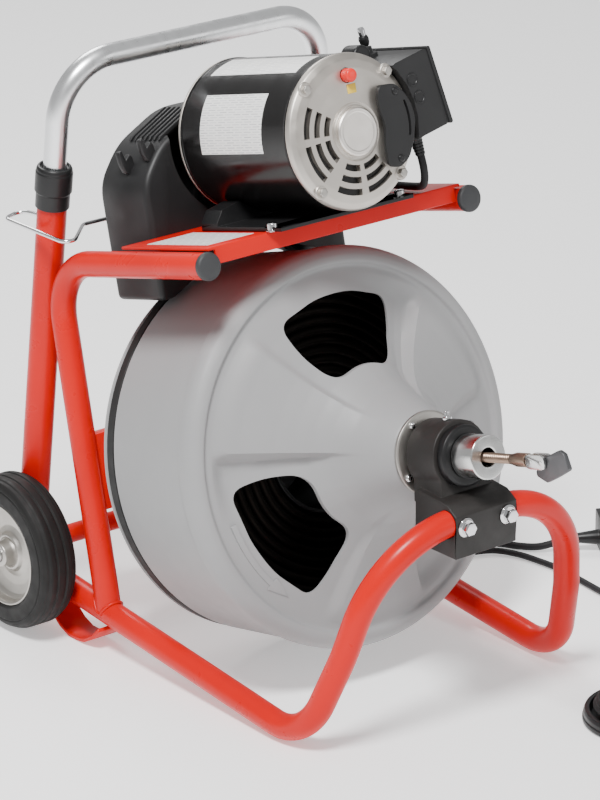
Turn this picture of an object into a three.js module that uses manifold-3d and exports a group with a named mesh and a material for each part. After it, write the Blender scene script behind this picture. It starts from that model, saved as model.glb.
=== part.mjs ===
// Drum drain cleaning machine on a red tubular frame with wheels.
// Millimetres, +Z up. The machine faces -Y and X runs across it.
// "Left" means -X, the side on the left when the machine is seen from the front.

import * as THREE from 'three';
import { mergeVertices } from 'three/addons/utils/BufferGeometryUtils.js';
import Module from 'manifold-3d';

const wasm = await Module();
wasm.setup();

// ---------- driving dimensions ----------

const GAP = 0.3;
const SHIFT_Y = -120.5;
const LIFT_Z = 0.4;

const TUBE_R = 12.5;
const SIDE_X = 156;
const RAIL_REAR_Y = 408;
const RAIL_SLOPE = 0.0971;
const TILT = THREE.MathUtils.degToRad(14);

const AXLE_Y = 372.5;
const AXLE_Z = 79.5;
const WHEEL_R = 76;
const RIM_R = 51;
const WHEEL_INNER_X = 171;

const SOCKET_R = 14.3;
const SOCKET_BORE = 11.6;
const SOCKET_LEAN = 0.139;
const HANDLE_R = 11.1;
const HANDLE_BEND_R = 56;
const HANDLE_TOP_Z = 570;

const DRUM_Y = 103.9;
const DRUM_Z = 219;
const DRUM_R = 190;
const DRUM_SIDES = 32;
const BELT_G = -127;
const BELT_INNER_R = 175.1;
const BELT_THICK = 6;

const MOTOR_V = 300;
const MOTOR_R = 72.5;
const MOTOR_FACE_G = 93;
const PULLEY_R = 18;
const IDLER_X = 50;
const IDLER_V = 210;
const IDLER_R = 14;

const DECK_BOTTOM_V = 219.4;
const DECK_TOP_V = 222.4;
const TOP_TUBE_V = 206.6;

const CORD_R = 3.75;
const HOSE_R = 3.25;

// ---------- colours ----------

const RED = 0xe8402a;
const DRUM_GREY = 0x9c9c9e;
const CHARCOAL = 0x3a3838;
const BLACK = 0x1b1b1c;
const RUBBER = 0x2a2a2b;
const BELL = 0xcfcac2;
const ALUMINIUM = 0xb9bcc0;
const STEEL = 0xa8aaac;
const ZINC = 0x9b9892;
const BRONZE = 0x6b5546;

// ---------- small tools ----------

const v3 = (x, y, z) => new THREE.Vector3(x, y, z);
const radians = (degrees) => THREE.MathUtils.degToRad(degrees);

function signedVolume(geometry) {
  const p = geometry.getAttribute('position');
  const index = geometry.getIndex();
  const a = v3(0, 0, 0);
  const b = v3(0, 0, 0);
  const c = v3(0, 0, 0);
  let total = 0;
  for (let i = 0; i < index.count; i += 3) {
    a.fromBufferAttribute(p, index.getX(i));
    b.fromBufferAttribute(p, index.getX(i + 1));
    c.fromBufferAttribute(p, index.getX(i + 2));
    total += a.dot(b.cross(c));
  }
  return total;
}

// Welds a geometry into one indexed skin that faces outward.
function welded(geometry) {
  const bare = new THREE.BufferGeometry();
  bare.setAttribute('position', geometry.getAttribute('position'));
  if (geometry.getIndex()) {
    bare.setIndex(geometry.getIndex());
  }
  const merged = mergeVertices(bare, 1e-3);
  const source = merged.getIndex();
  const kept = [];
  for (let i = 0; i < source.count; i += 3) {
    const [a, b, c] = [source.getX(i), source.getX(i + 1), source.getX(i + 2)];
    if (a !== b && b !== c && a !== c) {
      kept.push(a, b, c);
    }
  }
  merged.setIndex(kept);
  if (signedVolume(merged) < 0) {
    kept.reverse();
    merged.setIndex(kept);
  }
  return merged;
}

function toManifold(geometry) {
  const mesh = new wasm.Mesh({
    numProp: 3,
    vertProperties: new Float32Array(geometry.getAttribute('position').array),
    triVerts: new Uint32Array(geometry.getIndex().array),
  });
  return new wasm.Manifold(mesh);
}

function fromManifold(body) {
  const mesh = body.getMesh();
  const geometry = new THREE.BufferGeometry();
  const positions = new Float32Array(mesh.vertProperties);
  geometry.setAttribute('position', new THREE.BufferAttribute(positions, 3));
  geometry.setIndex(Array.from(mesh.triVerts));
  return geometry;
}

function cut(geometry, ...tools) {
  const start = toManifold(geometry);
  return fromManifold(tools.reduce((body, tool) => body.subtract(toManifold(tool)), start));
}

function join(geometry, ...others) {
  const start = toManifold(geometry);
  return fromManifold(others.reduce((body, other) => body.add(toManifold(other)), start));
}

function circle(radius, sides, centreX = 0, centreY = 0) {
  const points = [];
  for (let i = 0; i < sides; i++) {
    const angle = (i / sides) * Math.PI * 2;
    const x = centreX + radius * Math.cos(angle);
    const y = centreY + radius * Math.sin(angle);
    points.push(new THREE.Vector2(x, y));
  }
  return points;
}

// A path through chosen stations, so straight runs need no extra rings.
class StationPath extends THREE.Curve {
  constructor(stations) {
    super();
    this.stations = stations;
  }

  getSpacedPoints() {
    return this.stations;
  }

  getTangentAt(u) {
    const last = this.stations.length - 1;
    const i = Math.round(u * last);
    const here = this.stations[i];
    const before = this.stations[Math.max(i - 1, 0)];
    const after = this.stations[Math.min(i + 1, last)];
    const arriving = here.clone().sub(before).normalize();
    const leaving = after.clone().sub(here).normalize();
    return arriving.add(leaving).normalize();
  }
}

// Round bar or pipe along the stations.
function tube(stations, radius, sides, bore = 0) {
  const shape = new THREE.Shape(circle(radius, sides));
  if (bore > 0) {
    shape.holes.push(new THREE.Path(circle(bore, sides)));
  }
  const options = {
    steps: stations.length - 1,
    extrudePath: new StationPath(stations),
    bevelEnabled: false,
  };
  return welded(new THREE.ExtrudeGeometry(shape, options));
}

// Stations of a path whose inner corners are rounded to the given radii.
function bentPath(corners, radii, stepDegrees = 15) {
  const stations = [corners[0]];
  for (let i = 1; i < corners.length - 1; i++) {
    const back = corners[i - 1].clone().sub(corners[i]).normalize();
    const ahead = corners[i + 1].clone().sub(corners[i]).normalize();
    const turn = Math.PI - back.angleTo(ahead);
    const radius = radii[i - 1];
    const reach = radius * Math.tan(turn / 2);
    const start = corners[i].clone().addScaledVector(back, reach);
    const middle = back.clone().add(ahead).normalize();
    const centre = corners[i].clone().addScaledVector(middle, radius / Math.cos(turn / 2));
    const axis = back.clone().negate().cross(ahead).normalize();
    const steps = Math.max(1, Math.ceil(turn / radians(stepDegrees)));
    for (let k = 0; k <= steps; k++) {
      const arm = start.clone().sub(centre).applyAxisAngle(axis, (turn * k) / steps);
      stations.push(centre.clone().add(arm));
    }
  }
  stations.push(corners[corners.length - 1]);
  return stations;
}

// Turned piece about the forward axis. The profile lists [radius, distance forward].
function turned(profile, segments) {
  const points = profile.map(([r, g]) => new THREE.Vector2(r, -g));
  const touchesAxis = profile[0][0] === 0;
  if (!touchesAxis) {
    points.push(points[0].clone());
  }
  return welded(new THREE.LatheGeometry(points, segments));
}

// Closed outline with every corner rounded.
function rounded(corners, radius, steps = 3) {
  const points = [];
  const count = corners.length;
  for (let i = 0; i < count; i++) {
    const here = new THREE.Vector2(...corners[i]);
    const before = new THREE.Vector2(...corners[(i + count - 1) % count]).sub(here).normalize();
    const after = new THREE.Vector2(...corners[(i + 1) % count]).sub(here).normalize();
    const halfTurn = (Math.PI - Math.acos(before.dot(after))) / 2;
    const reach = radius * Math.tan(halfTurn);
    const start = here.clone().addScaledVector(before, reach);
    const end = here.clone().addScaledVector(after, reach);
    for (let k = 0; k <= steps; k++) {
      const t = k / steps;
      const first = start.clone().lerp(here, t);
      const second = here.clone().lerp(end, t);
      points.push(first.lerp(second, t));
    }
  }
  return points;
}

// Flat piece standing across the forward axis: outline in [across, up].
function plate(outline, back, front, holes = []) {
  const shape = new THREE.Shape(outline);
  for (const hole of holes) {
    shape.holes.push(new THREE.Path(hole));
  }
  const geometry = new THREE.ExtrudeGeometry(shape, { depth: front - back, bevelEnabled: false });
  geometry.rotateX(Math.PI / 2);
  geometry.translate(0, -back, 0);
  return welded(geometry);
}

// Piece pulled along X: outline in [y, z].
function crosswise(outline, fromX, toX, holes = []) {
  const shape = new THREE.Shape(outline);
  for (const hole of holes) {
    shape.holes.push(new THREE.Path(hole));
  }
  const geometry = new THREE.ExtrudeGeometry(shape, { depth: toX - fromX, bevelEnabled: false });
  geometry.applyMatrix4(new THREE.Matrix4().makeBasis(v3(0, 1, 0), v3(0, 0, 1), v3(1, 0, 0)));
  geometry.translate(fromX, 0, 0);
  return welded(geometry);
}

const outlineOf = (pairs) => pairs.map(([a, b]) => new THREE.Vector2(a, b));

// Box between limits across, forward and up.
function block(x0, x1, g0, g1, u0, u1) {
  const geometry = new THREE.BoxGeometry(x1 - x0, g1 - g0, u1 - u0);
  geometry.translate((x0 + x1) / 2, -(g0 + g1) / 2, (u0 + u1) / 2);
  return welded(geometry);
}

// Outline of a bent strip of even thickness that follows the points.
function strip(pairs, thickness) {
  const points = outlineOf(pairs);
  const one = [];
  const other = [];
  points.forEach((point, i) => {
    const before = points[Math.max(i - 1, 0)];
    const after = points[Math.min(i + 1, points.length - 1)];
    const run = after.clone().sub(before).normalize();
    const side = new THREE.Vector2(-run.y, run.x).multiplyScalar(thickness / 2);
    one.push(point.clone().add(side));
    other.unshift(point.clone().sub(side));
  });
  return one.concat(other);
}

function mirrored(geometry) {
  const copy = geometry.clone();
  copy.scale(-1, 1, 1);
  return welded(copy);
}

function mesh(name, geometry, colour, metalness = 0, roughness = 0.5) {
  const material = new THREE.MeshStandardMaterial({ color: colour, metalness, roughness });
  const piece = new THREE.Mesh(geometry, material);
  piece.name = name;
  return piece;
}

// ---------- frame ----------

const railZ = (y) => 17.8 + (y - 65.2) * RAIL_SLOPE;
const uprightY = (z) => 278.4 + (z - 68.3) * 0.217;
const socketY = (z) => 353.3 + (392.9 - z) * SOCKET_LEAN;

function baseStations() {
  const half = [
    v3(-SIDE_X, RAIL_REAR_Y, railZ(RAIL_REAR_Y)),
    v3(-SIDE_X, -26, 7.3),
    v3(-136, -58, 97),
    v3(-110, -84, 210),
  ];
  const other = half.map((p) => v3(-p.x, p.y, p.z)).reverse();
  return bentPath(half.concat(other), [55, 120, 105, 105, 120, 55], 16);
}

function sideTubeStations() {
  const foot = v3(-SIDE_X, uprightY(38.5), 38.5);
  const corner = v3(-SIDE_X, 345, 372);
  const front = v3(-SIDE_X, 111.7, 430.2);
  return bentPath([foot, corner, front], [58], 13);
}

function makeFrame(machine) {
  const base = baseStations();
  const baseCutter = tube(base, TUBE_R + GAP, 10);
  machine.add(mesh('base_tube', tube(base, TUBE_R, 10), RED));

  const sideTube = cut(tube(sideTubeStations(), TUBE_R, 12), baseCutter);
  machine.add(mesh('left_side_tube', sideTube, RED));
  machine.add(mesh('right_side_tube', mirrored(sideTube), RED));

  const socketStations = [v3(-SIDE_X, socketY(50), 50), v3(-SIDE_X, socketY(428), 428)];
  const socket = cut(tube(socketStations, SOCKET_R, 14, SOCKET_BORE), baseCutter);
  machine.add(mesh('left_handle_socket', socket, RED));
  machine.add(mesh('right_handle_socket', mirrored(socket), RED));

  const axleTube = tube([v3(-168, AXLE_Y, AXLE_Z), v3(168, AXLE_Y, AXLE_Z)], 9.5, 12, 6.8);
  machine.add(mesh('axle_tube', axleTube, RED));
  const axleEnds = [v3(-216, AXLE_Y, AXLE_Z), v3(216, AXLE_Y, AXLE_Z)];
  machine.add(mesh('axle_rod', tube(axleEnds, 6.35, 12), STEEL, 1, 0.35));

  const footPath = [[270, 22.4], [281, 11], [295, 3.4], [306, 1.6], [319, 1.6], [333, 7], [347, 18], [357, 29.5]];
  const foot = crosswise(strip(footPath, 4), -171, -141);
  const footCut = cut(foot, baseCutter);
  machine.add(mesh('left_rear_foot', footCut, RED));
  machine.add(mesh('right_rear_foot', mirrored(footCut), RED));
}

function makeHandle(machine) {
  const bottomZ = 112;
  const corners = [
    v3(-SIDE_X, socketY(bottomZ), bottomZ),
    v3(-SIDE_X, socketY(HANDLE_TOP_Z), HANDLE_TOP_Z),
    v3(SIDE_X, socketY(HANDLE_TOP_Z), HANDLE_TOP_Z),
    v3(SIDE_X, socketY(bottomZ), bottomZ),
  ];
  const stations = bentPath(corners, [HANDLE_BEND_R, HANDLE_BEND_R], 13);
  machine.add(mesh('handle_tube', tube(stations, HANDLE_R, 12), ALUMINIUM, 1, 0.3));

  const profile = [[11.5, 0], [16.2, 0], [16.2, 14], [18, 16], [18, 37], [16.4, 41], [13.6, 42], [11.5, 42]];
  const collar = turned(profile, 14);
  collar.rotateX(-Math.PI / 2 + Math.atan(SOCKET_LEAN));
  const leftCollar = collar.clone().translate(-SIDE_X, socketY(428.3), 428.3);
  const rightCollar = collar.clone().translate(SIDE_X, socketY(428.3), 428.3);
  machine.add(mesh('left_socket_collar', leftCollar, BLACK));
  machine.add(mesh('right_socket_collar', rightCollar, BLACK));

  const wire = [
    v3(-SIDE_X, 369.6, 414),
    v3(-SIDE_X, 400, 411),
    v3(-180, 392, 410),
    v3(-176, 290, 408),
    v3(-134, 330, 410),
    v3(134, 330, 410),
    v3(176, 290, 408),
    v3(180, 392, 410),
    v3(SIDE_X, 400, 411),
    v3(SIDE_X, 369.6, 414),
  ];
  const wireStations = bentPath(wire, [9, 9, 9, 12, 12, 9, 9, 9], 30);
  machine.add(mesh('lock_wire', tube(wireStations, 2, 6), STEEL, 1, 0.2));
}

function makeWheels(machine) {
  const tyreProfile = [
    [RIM_R + GAP, 0], [68, 0], [74.4, 4.5], [WHEEL_R, 9], [WHEEL_R, 33], [74.4, 37.5], [68, 42],
    [RIM_R + GAP, 42],
  ];
  const discProfile = [
    [6.7, -2], [12, -2], [12, 12], [30, 18], [46, 9], [RIM_R, 1],
    [RIM_R, 41], [46, 31], [38, 24], [22, 27], [13, 32], [12, 43], [6.7, 43],
  ];
  const tyre = turned(tyreProfile, 24).rotateZ(Math.PI / 2).translate(0, AXLE_Y, AXLE_Z);
  const disc = turned(discProfile, 24).rotateZ(Math.PI / 2).translate(0, AXLE_Y, AXLE_Z);
  const rightTyre = tyre.clone().translate(WHEEL_INNER_X, 0, 0);
  const rightDisc = disc.clone().translate(WHEEL_INNER_X, 0, 0);
  machine.add(mesh('right_tyre', rightTyre, RUBBER, 0, 0.8));
  machine.add(mesh('left_tyre', mirrored(rightTyre), RUBBER, 0, 0.8));
  machine.add(mesh('right_wheel_disc', rightDisc, ZINC, 1, 0.4));
  machine.add(mesh('left_wheel_disc', mirrored(rightDisc), ZINC, 1, 0.4));
}

// ---------- drum ----------

// Forward swell and hollow of the drum face, three times round.
function faceSculpt(angleDegrees, radius) {
  const phase = (((angleDegrees - 90) % 120) + 120) % 120;
  const knots = [[0, 0], [28, 0], [41, 3.5], [79, -1.2], [82, -6.5], [87, -7], [96, 0], [120, 0]];
  let height = 0;
  for (let i = 0; i < knots.length - 1; i++) {
    const [from, a] = knots[i];
    const [to, b] = knots[i + 1];
    if (phase >= from && phase <= to) {
      height = a + ((b - a) * (phase - from)) / (to - from);
    }
  }
  const inner = THREE.MathUtils.smoothstep(radius, 46, 80);
  const outer = 1 - THREE.MathUtils.smoothstep(radius, 148, 167);
  return height * inner * outer;
}

function sculpted(geometry) {
  const p = geometry.getAttribute('position');
  for (let i = 0; i < p.count; i++) {
    const radius = Math.hypot(p.getX(i), p.getZ(i));
    const angle = THREE.MathUtils.radToDeg(Math.atan2(p.getZ(i), p.getX(i)));
    p.setY(i, p.getY(i) - faceSculpt(angle, radius));
  }
  return geometry;
}

// Rounded sector opening in the drum face.
// A window's corners as radius and angle from its centre line.
const WINDOW_CORNERS = [
  [148, -27], [148, -18], [148, -9], [148, 0], [148, 9], [148, 18], [148, 27],
  [116, 29], [82, 26], [84, 10], [84, -10], [82, -26], [116, -29],
];

function windowOutline(centreDegrees) {
  const corners = WINDOW_CORNERS.map(([radius, offset]) => {
    const angle = radians(centreDegrees + offset);
    return [radius * Math.cos(angle), radius * Math.sin(angle)];
  });
  return rounded(corners, 12, 2);
}

function makeDrum(drive) {
  const front = [
    [DRUM_R, -6], [DRUM_R, 3], [187, 9], [181, 13.5], [175, 14.5], [171.5, 10.5], [166, 11.6], [140, 20],
    [110, 33], [95, 41.5], [80, 52], [68, 64], [57, 80], [48, 98], [38, 121], [22, 122],
    [22, 118.5], [35, 117.5], [45, 96], [54, 78], [65, 61.5], [77.5, 49],
    [108.5, 30], [165, 8.4], [172, 7.2], [180, 9], [187.3, 2], [187.3, -6],
  ];
  const faceBlank = sculpted(turned(front, DRUM_SIDES));
  const openings = [90, 210, 330].map((centre) => plate(windowOutline(centre), -5, 80));
  drive.add(mesh('drum_front_shell', cut(faceBlank, ...openings), DRUM_GREY, 0, 0.45));

  const rear = [
    [0, -198], [10, -198], [10, -144], [34, -144], [36, -141], [177, -141], [181.5, -136],
    [174.5, -132.5], [174.5, -121.5], [182, -119.5], [187, -8], [187, -2], [184, -2],
    [179, -117], [171.5, -119], [171.5, -137.8], [0, -137.8],
  ];
  drive.add(mesh('drum_rear_shell', turned(rear, DRUM_SIDES), DRUM_GREY, 0, 0.45));

  const pan = [[60, -137.4], [168, -137.4], [168, -8], [164, -8], [164, -133], [64, -133], [64, -30], [60, -30]];
  drive.add(mesh('inner_drum', turned(pan, 20), BLACK, 0, 0.6));
  const coil = [[66, -130], [162, -130], [162, -34]];
  for (let turn = 0; turn < 5; turn++) {
    const r = 152 - turn * 17;
    coil.push([r, -27], [r - 8.5, -33]);
  }
  coil.push([66, -36]);
  drive.add(mesh('stored_cable', turned(coil, 20), BRONZE, 1, 0.5));

  const nose = [
    [8.7, 112], [19.7, 112], [19.7, 122.4], [39.5, 122.4], [39.5, 125.5], [24, 129.4],
    [19.7, 129.4], [19.7, 179.6], [20.6, 180.4], [20.6, 209], [8.7, 209],
  ];
  drive.add(mesh('nose_shaft', turned(nose, 24), STEEL, 1, 0.2));
}

function makeCable(drive) {
  const spring = [[0, 2], [4.75, 2], [4.75, 239], [3.6, 241], [0, 241]];
  drive.add(mesh('drain_cable', turned(spring, 12), BRONZE, 1, 0.45));

  const shank = turned([[0, 241.4], [4.9, 241.4], [5.2, 244], [6.6, 250], [6.6, 264.5], [0, 264.5]], 14);
  const tongue = crosswise(rounded([[-277.5, -4], [-263, -4], [-263, 4], [-277.5, 4]], 3, 2), -2.5, 2.5);
  const firstHole = crosswise(circle(2.4, 8, -273.1, 0), -10, 10);
  drive.add(mesh('cable_coupling', cut(join(shank, tongue), firstHole), BRONZE, 1, 0.4));

  const cheek = rounded([[-291, -6.8], [-265.4, -6.8], [-265.4, 6.4], [-291, 6.4]], 4.6, 2);
  const cheeks = [crosswise(cheek, -5.4, -2.9), crosswise(cheek, 2.9, 5.4)];
  const pins = [-273.1, -286.1].map((y) => crosswise(circle(2, 8, y, 0), -5.8, 5.8));
  drive.add(mesh('knuckle_link', join(cheeks[0], pins[0], pins[1], cheeks[1]), STEEL, 1, 0.3));

  const blade = rounded([
    [-275, -13.5], [-275, -8], [-282.5, -5.5], [-283, 5], [-294, 6], [-309, 11.5], [-316, 8.5],
    [-320, -6.4], [-302, -14], [-288, -19],
  ], 1.8, 1);
  drive.add(mesh('drop_head', crosswise(blade, -2.5, 2.5, [circle(2.4, 8, -286.1, 0)]), STEEL, 1, 0.5));
}

// ---------- bearings ----------

function makeBracket(machine, drive) {
  // Head ring in the tilted frame, upright base block round the bent front tube.
  const head = plate(circle(33, 28), 131, 170);
  const waist = plate(outlineOf([[-29, 0], [29, 0], [28, -20], [31, -38], [-31, -38], [-28, -20]]), 131, 170);
  const tilted = join(head, waist);
  tilted.rotateX(-TILT);
  tilted.translate(0, DRUM_Y, DRUM_Z);
  const side = [[-97, 178], [-46, 178], [-40, 184], [-40, 230], [-60, 229], [-84, 227], [-97, 219]];
  const base = crosswise(outlineOf(side), -36.5, 36.5);
  const bore = turned([[0, 100], [26, 100], [26, 200], [0, 200]], 24);
  bore.rotateX(-TILT);
  bore.translate(0, DRUM_Y, DRUM_Z);
  const tubeCutter = tube(baseStations(), TUBE_R + GAP, 10);
  machine.add(mesh('front_bearing_bracket', cut(join(tilted, base), bore, tubeCutter), CHARCOAL, 0, 0.55));

  const race = [[20, 133], [25.7, 133], [25.7, 170.3], [28.5, 170.3], [28.5, 177.5], [26, 179], [20, 179]];
  drive.add(mesh('front_bearing', turned(race, 24), BLACK, 0, 0.5));

  const hex = new THREE.CylinderGeometry(6.6, 6.6, 6, 6).translate(0, -5.4, 0);
  const bolt = join(turned([[0, 0], [9.3, 0], [9.3, 1.4], [7.6, 2.8], [0, 2.8]], 16), welded(hex));
  for (const [name, x] of [['left_bracket_bolt', -25], ['right_bracket_bolt', 25]]) {
    machine.add(mesh(name, bolt.clone().translate(x, -97.3, 207.5), STEEL, 1, 0.25));
  }
  const rearRing = [[10.4, -199.7], [38, -199.7], [38, -196], [26, -194], [24, -184], [10.4, -184]];
  drive.add(mesh('rear_bearing', turned(rearRing, 20), CHARCOAL, 0, 0.5));
  const channel = [[219, -37], [200, -37], [200, 37], [219, 37], [219, 33], [204, 33], [204, -33], [219, -33]];
  drive.add(mesh('rear_cross_member', crosswise(outlineOf(channel), -143.2, 143.2), RED));
}

// ---------- deck and motor ----------

function makeDeck(drive) {
  const top = plate(outlineOf([[-150, DECK_BOTTOM_V], [150, DECK_BOTTOM_V], [150, DECK_TOP_V], [-150, DECK_TOP_V]]), -93.5, 43);
  const lip = block(-143, 143, 40, 43, 206, DECK_BOTTOM_V + 1);
  drive.add(mesh('motor_deck', join(top, lip), RED));

  const cap = turned([[0, 0], [13.2, 0], [13.2, 4], [11, 6], [6, 7.2], [0, 7.6]], 14);
  cap.translate(0, -43.9, TOP_TUBE_V);
  for (const [name, x] of [['left_tube_cap', -SIDE_X], ['right_tube_cap', SIDE_X]]) {
    drive.add(mesh(name, cap.clone().translate(x, 0, 0), CHARCOAL, 0, 0.6));
  }
}

function arcSlot(radius, fromDegrees, toDegrees, width) {
  const outer = [];
  const inner = [];
  for (let k = 0; k <= 2; k++) {
    const angle = radians(fromDegrees + ((toDegrees - fromDegrees) * k) / 2);
    const direction = new THREE.Vector2(Math.cos(angle), Math.sin(angle));
    outer.push(direction.clone().multiplyScalar(radius + width / 2));
    inner.unshift(direction.clone().multiplyScalar(radius - width / 2));
  }
  return outer.concat(inner).map((p) => p.add(new THREE.Vector2(0, MOTOR_V)));
}

function makeMotor(drive) {
  const up = (geometry) => geometry.translate(0, 0, MOTOR_V);
  const face = MOTOR_FACE_G;
  const shell = up(turned([[0, -82], [MOTOR_R, -82], [MOTOR_R, 78.7], [0, 78.7]], 28));
  drive.add(mesh('motor_shell', shell, BLACK, 0, 0.25));

  const dome = [[0, 79], [MOTOR_R, 79], [MOTOR_R, 81], [70.5, 85], [64, 88.2], [50, 90.3], [24, 91.2], [0, 91.2]];
  const slots = [];
  for (const radius of [35, 45.5, 56]) {
    slots.push(plate(arcSlot(radius, 160, 186, 5.6), 86, 100));
    slots.push(plate(arcSlot(radius, 194, 232, 5.6), 86, 100));
    slots.push(plate(arcSlot(radius, 245, 272, 5.6), 86, 100));
    slots.push(plate(arcSlot(radius, 281, 315, 5.6), 86, 100));
  }
  const heads = [[-47.5, 47.5], [47.5, 47.5], [-47.5, -47.5], [47.5, -47.5]].map(([x, u]) =>
    plate(circle(4.6, 6, x, MOTOR_V + u), 80, 92.6));
  const buttonWell = plate(circle(7.2, 14, 0, MOTOR_V + 52), 85.5, 100);
  const bell = cut(up(turned(dome, 28)), buttonWell, ...slots);
  const cap = up(turned([[0, 90], [22.6, 90], [22.6, 94], [20.6, 95.4], [0, 95.4]], 18));
  drive.add(mesh('motor_front_bell', join(bell, cap, ...heads), BELL, 1, 0.35));
  const rear = up(turned([[0, -82.3], [MOTOR_R, -82.3], [MOTOR_R, -84.5], [64, -88.5], [0, -91]], 28));
  drive.add(mesh('motor_rear_bell', rear, BELL, 1, 0.4));

  const button = up(turned([[0, 89], [6.5, 89], [6.5, 97.5], [5, 99], [0, 99.4]], 14));
  drive.add(mesh('reset_button', button.translate(0, 0, 52), 0xd0261c, 0, 0.4));

  const coverOutline = rounded([
    [29, 258], [68, 262], [66, 280], [71, 300], [70, 322], [57, 338], [30, 336], [27, 318], [31, 300], [27, 282],
  ], 5, 2);
  const coverSlot = plate(arcSlot(42, -32, 22, 7), 93.5, 100);
  const coverFoot = plate(outlineOf([[32, 268], [52, 268], [52, 326], [32, 326]]), 91.6, 95);
  const cover = cut(plate(coverOutline, 94.3, 98.5), coverSlot);
  drive.add(mesh('motor_cover_plate', join(cover, coverFoot), BLACK, 0, 0.4));

  const motorBody = up(turned([[0, -200], [MOTOR_R + GAP, -200], [MOTOR_R + GAP, 200], [0, 200]], 28));
  const saddle = plate(rounded([[-80, DECK_TOP_V + GAP], [80, DECK_TOP_V + GAP], [72, 250], [-72, 250]], 4, 2), -62, 62);
  drive.add(mesh('motor_cradle', cut(saddle, motorBody), CHARCOAL, 0, 0.5));

  // Switch box, turned a little about the motor axis.
  const turn = radians(11.3);
  const place = ([r, t]) => [
    81.8 + r * Math.cos(turn) - t * Math.sin(turn),
    MOTOR_V + 20.2 + r * Math.sin(turn) + t * Math.cos(turn),
  ];
  const boxOutline = rounded([[-23.7, -37.2], [20.4, -37.2], [20.4, 37.2], [-23.7, 37.2]].map(place), 4, 2);
  const lidOutline = rounded([[20, -38], [24, -38], [24, 38], [20, 38]].map(place), 1.2, 1);
  const onTop = (geometry) => {
    const [x, u] = place([0, 37.5]);
    geometry.rotateX(-Math.PI / 2);
    geometry.rotateY(-turn);
    return geometry.translate(x, -33, u);
  };
  const bushing = onTop(turned([[0, -1], [8.5, -1], [8.5, 3], [5, 4], [5, 9.6], [0, 9.6]], 12));
  const shellBox = join(plate(boxOutline, face - 95, face), plate(lidOutline, face - 96, face + 1));
  drive.add(mesh('switch_box', join(cut(shellBox, motorBody), bushing), CHARCOAL, 0, 0.5));
  const lever = onTop(turned([[0, 10.4], [2.1, 10.4], [2.6, 11.2], [3.8, 27], [2.8, 29], [0, 29.4]], 10));
  drive.add(mesh('switch_lever', lever, STEEL, 1, 0.25));
}

// ---------- belt drive ----------

function arcPoints(x, v, radius, from, to, steps) {
  const points = [];
  for (let k = 0; k <= steps; k++) {
    const angle = radians(from + ((to - from) * k) / steps);
    points.push(new THREE.Vector2(x + radius * Math.cos(angle), v + radius * Math.sin(angle)));
  }
  return points;
}

// Belt run pushed inward by the two idlers. Offset moves the outline off the middle of the belt.
function beltOutline(offset) {
  const drumR = BELT_INNER_R + BELT_THICK / 2;
  const pulleyR = PULLEY_R + GAP + BELT_THICK / 2;
  const idlerR = IDLER_R + GAP + BELT_THICK / 2;
  const reach = Math.hypot(IDLER_X, IDLER_V);
  const drumLine = THREE.MathUtils.radToDeg(Math.atan2(IDLER_V, IDLER_X));
  const drumTurn = THREE.MathUtils.radToDeg(Math.acos((drumR + idlerR) / reach));
  const leave = drumLine - drumTurn;
  const rise = MOTOR_V - IDLER_V;
  const topLine = THREE.MathUtils.radToDeg(Math.atan2(rise, -IDLER_X));
  const topTurn = THREE.MathUtils.radToDeg(Math.acos((idlerR + pulleyR) / Math.hypot(rise, IDLER_X)));
  const turnOff = topLine + topTurn;
  const right = arcPoints(IDLER_X, IDLER_V, idlerR - offset, leave + 180, turnOff, 6);
  const top = arcPoints(0, MOTOR_V, pulleyR + offset, turnOff - 180, 360 - turnOff, 12);
  const left = arcPoints(-IDLER_X, IDLER_V, idlerR - offset, 180 - turnOff, -leave, 6);
  const round = arcPoints(0, 0, drumR + offset, 180 - leave, 360 + leave, 40);
  return right.concat(top, left, round);
}

function makeBeltDrive(drive) {
  const outer = beltOutline(BELT_THICK / 2);
  const inner = beltOutline(-BELT_THICK / 2);
  drive.add(mesh('drive_belt', plate(outer, BELT_G - 5, BELT_G + 5, [inner]), RUBBER, 0, 0.8));

  const pulley = turned([
    [0, -141], [6, -141], [6, -134.5], [22, -134.5], [PULLEY_R, -132.2], [PULLEY_R, -121.8],
    [22, -119.5], [6, -118], [6, -91.4], [0, -91.4],
  ], 20).translate(0, 0, MOTOR_V);
  drive.add(mesh('motor_pulley', pulley, STEEL, 1, 0.4));
  const idler = turned([[4.4, -134], [IDLER_R, -134], [IDLER_R, -120], [4.4, -120]], 16);
  drive.add(mesh('left_idler', idler.clone().translate(-IDLER_X, 0, IDLER_V), CHARCOAL, 0, 0.5));
  drive.add(mesh('right_idler', idler.clone().translate(IDLER_X, 0, IDLER_V), CHARCOAL, 0, 0.5));

  const bar = plate(rounded([[-66, 194], [66, 194], [66, 219], [-66, 219]], 6, 2), -106, -102.3);
  const pins = [-IDLER_X, IDLER_X].map((x) => plate(circle(4.1, 10, x, IDLER_V), -136, -105));
  drive.add(mesh('idler_bracket', join(bar, ...pins), CHARCOAL, 0, 0.5));

  const outline = (grow) => rounded([
    [-113 + grow, 162 - grow * 4], [113 - grow, 162 - grow * 4], [113 - grow, 275], [86, 308 - grow],
    [34, 333 - grow], [-34, 333 - grow], [-86, 308 - grow], [-113 + grow, 275],
  ], 9, 2);
  const shell = plate(outline(0), -169, -94);
  const hollow = plate(outline(4), -165, -98);
  const drumRoom = turned([[0, -150], [190, -150], [190, 0], [0, 0]], 48);
  const motorRoom = plate(circle(76, 32, 0, MOTOR_V), -120, -90);
  drive.add(mesh('belt_guard', cut(shell, hollow, drumRoom, motorRoom), CHARCOAL, 0, 0.55));
}

// ---------- cords and pedal ----------

const POWER_COIL = { x: 30, y: 215, turnRadius: 45, across: 3, layers: 2, radius: CORD_R };
const HOSE_COIL = { x: 336.5, y: -112, turnRadius: 40.25, across: 2, layers: 2, radius: HOSE_R };

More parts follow.
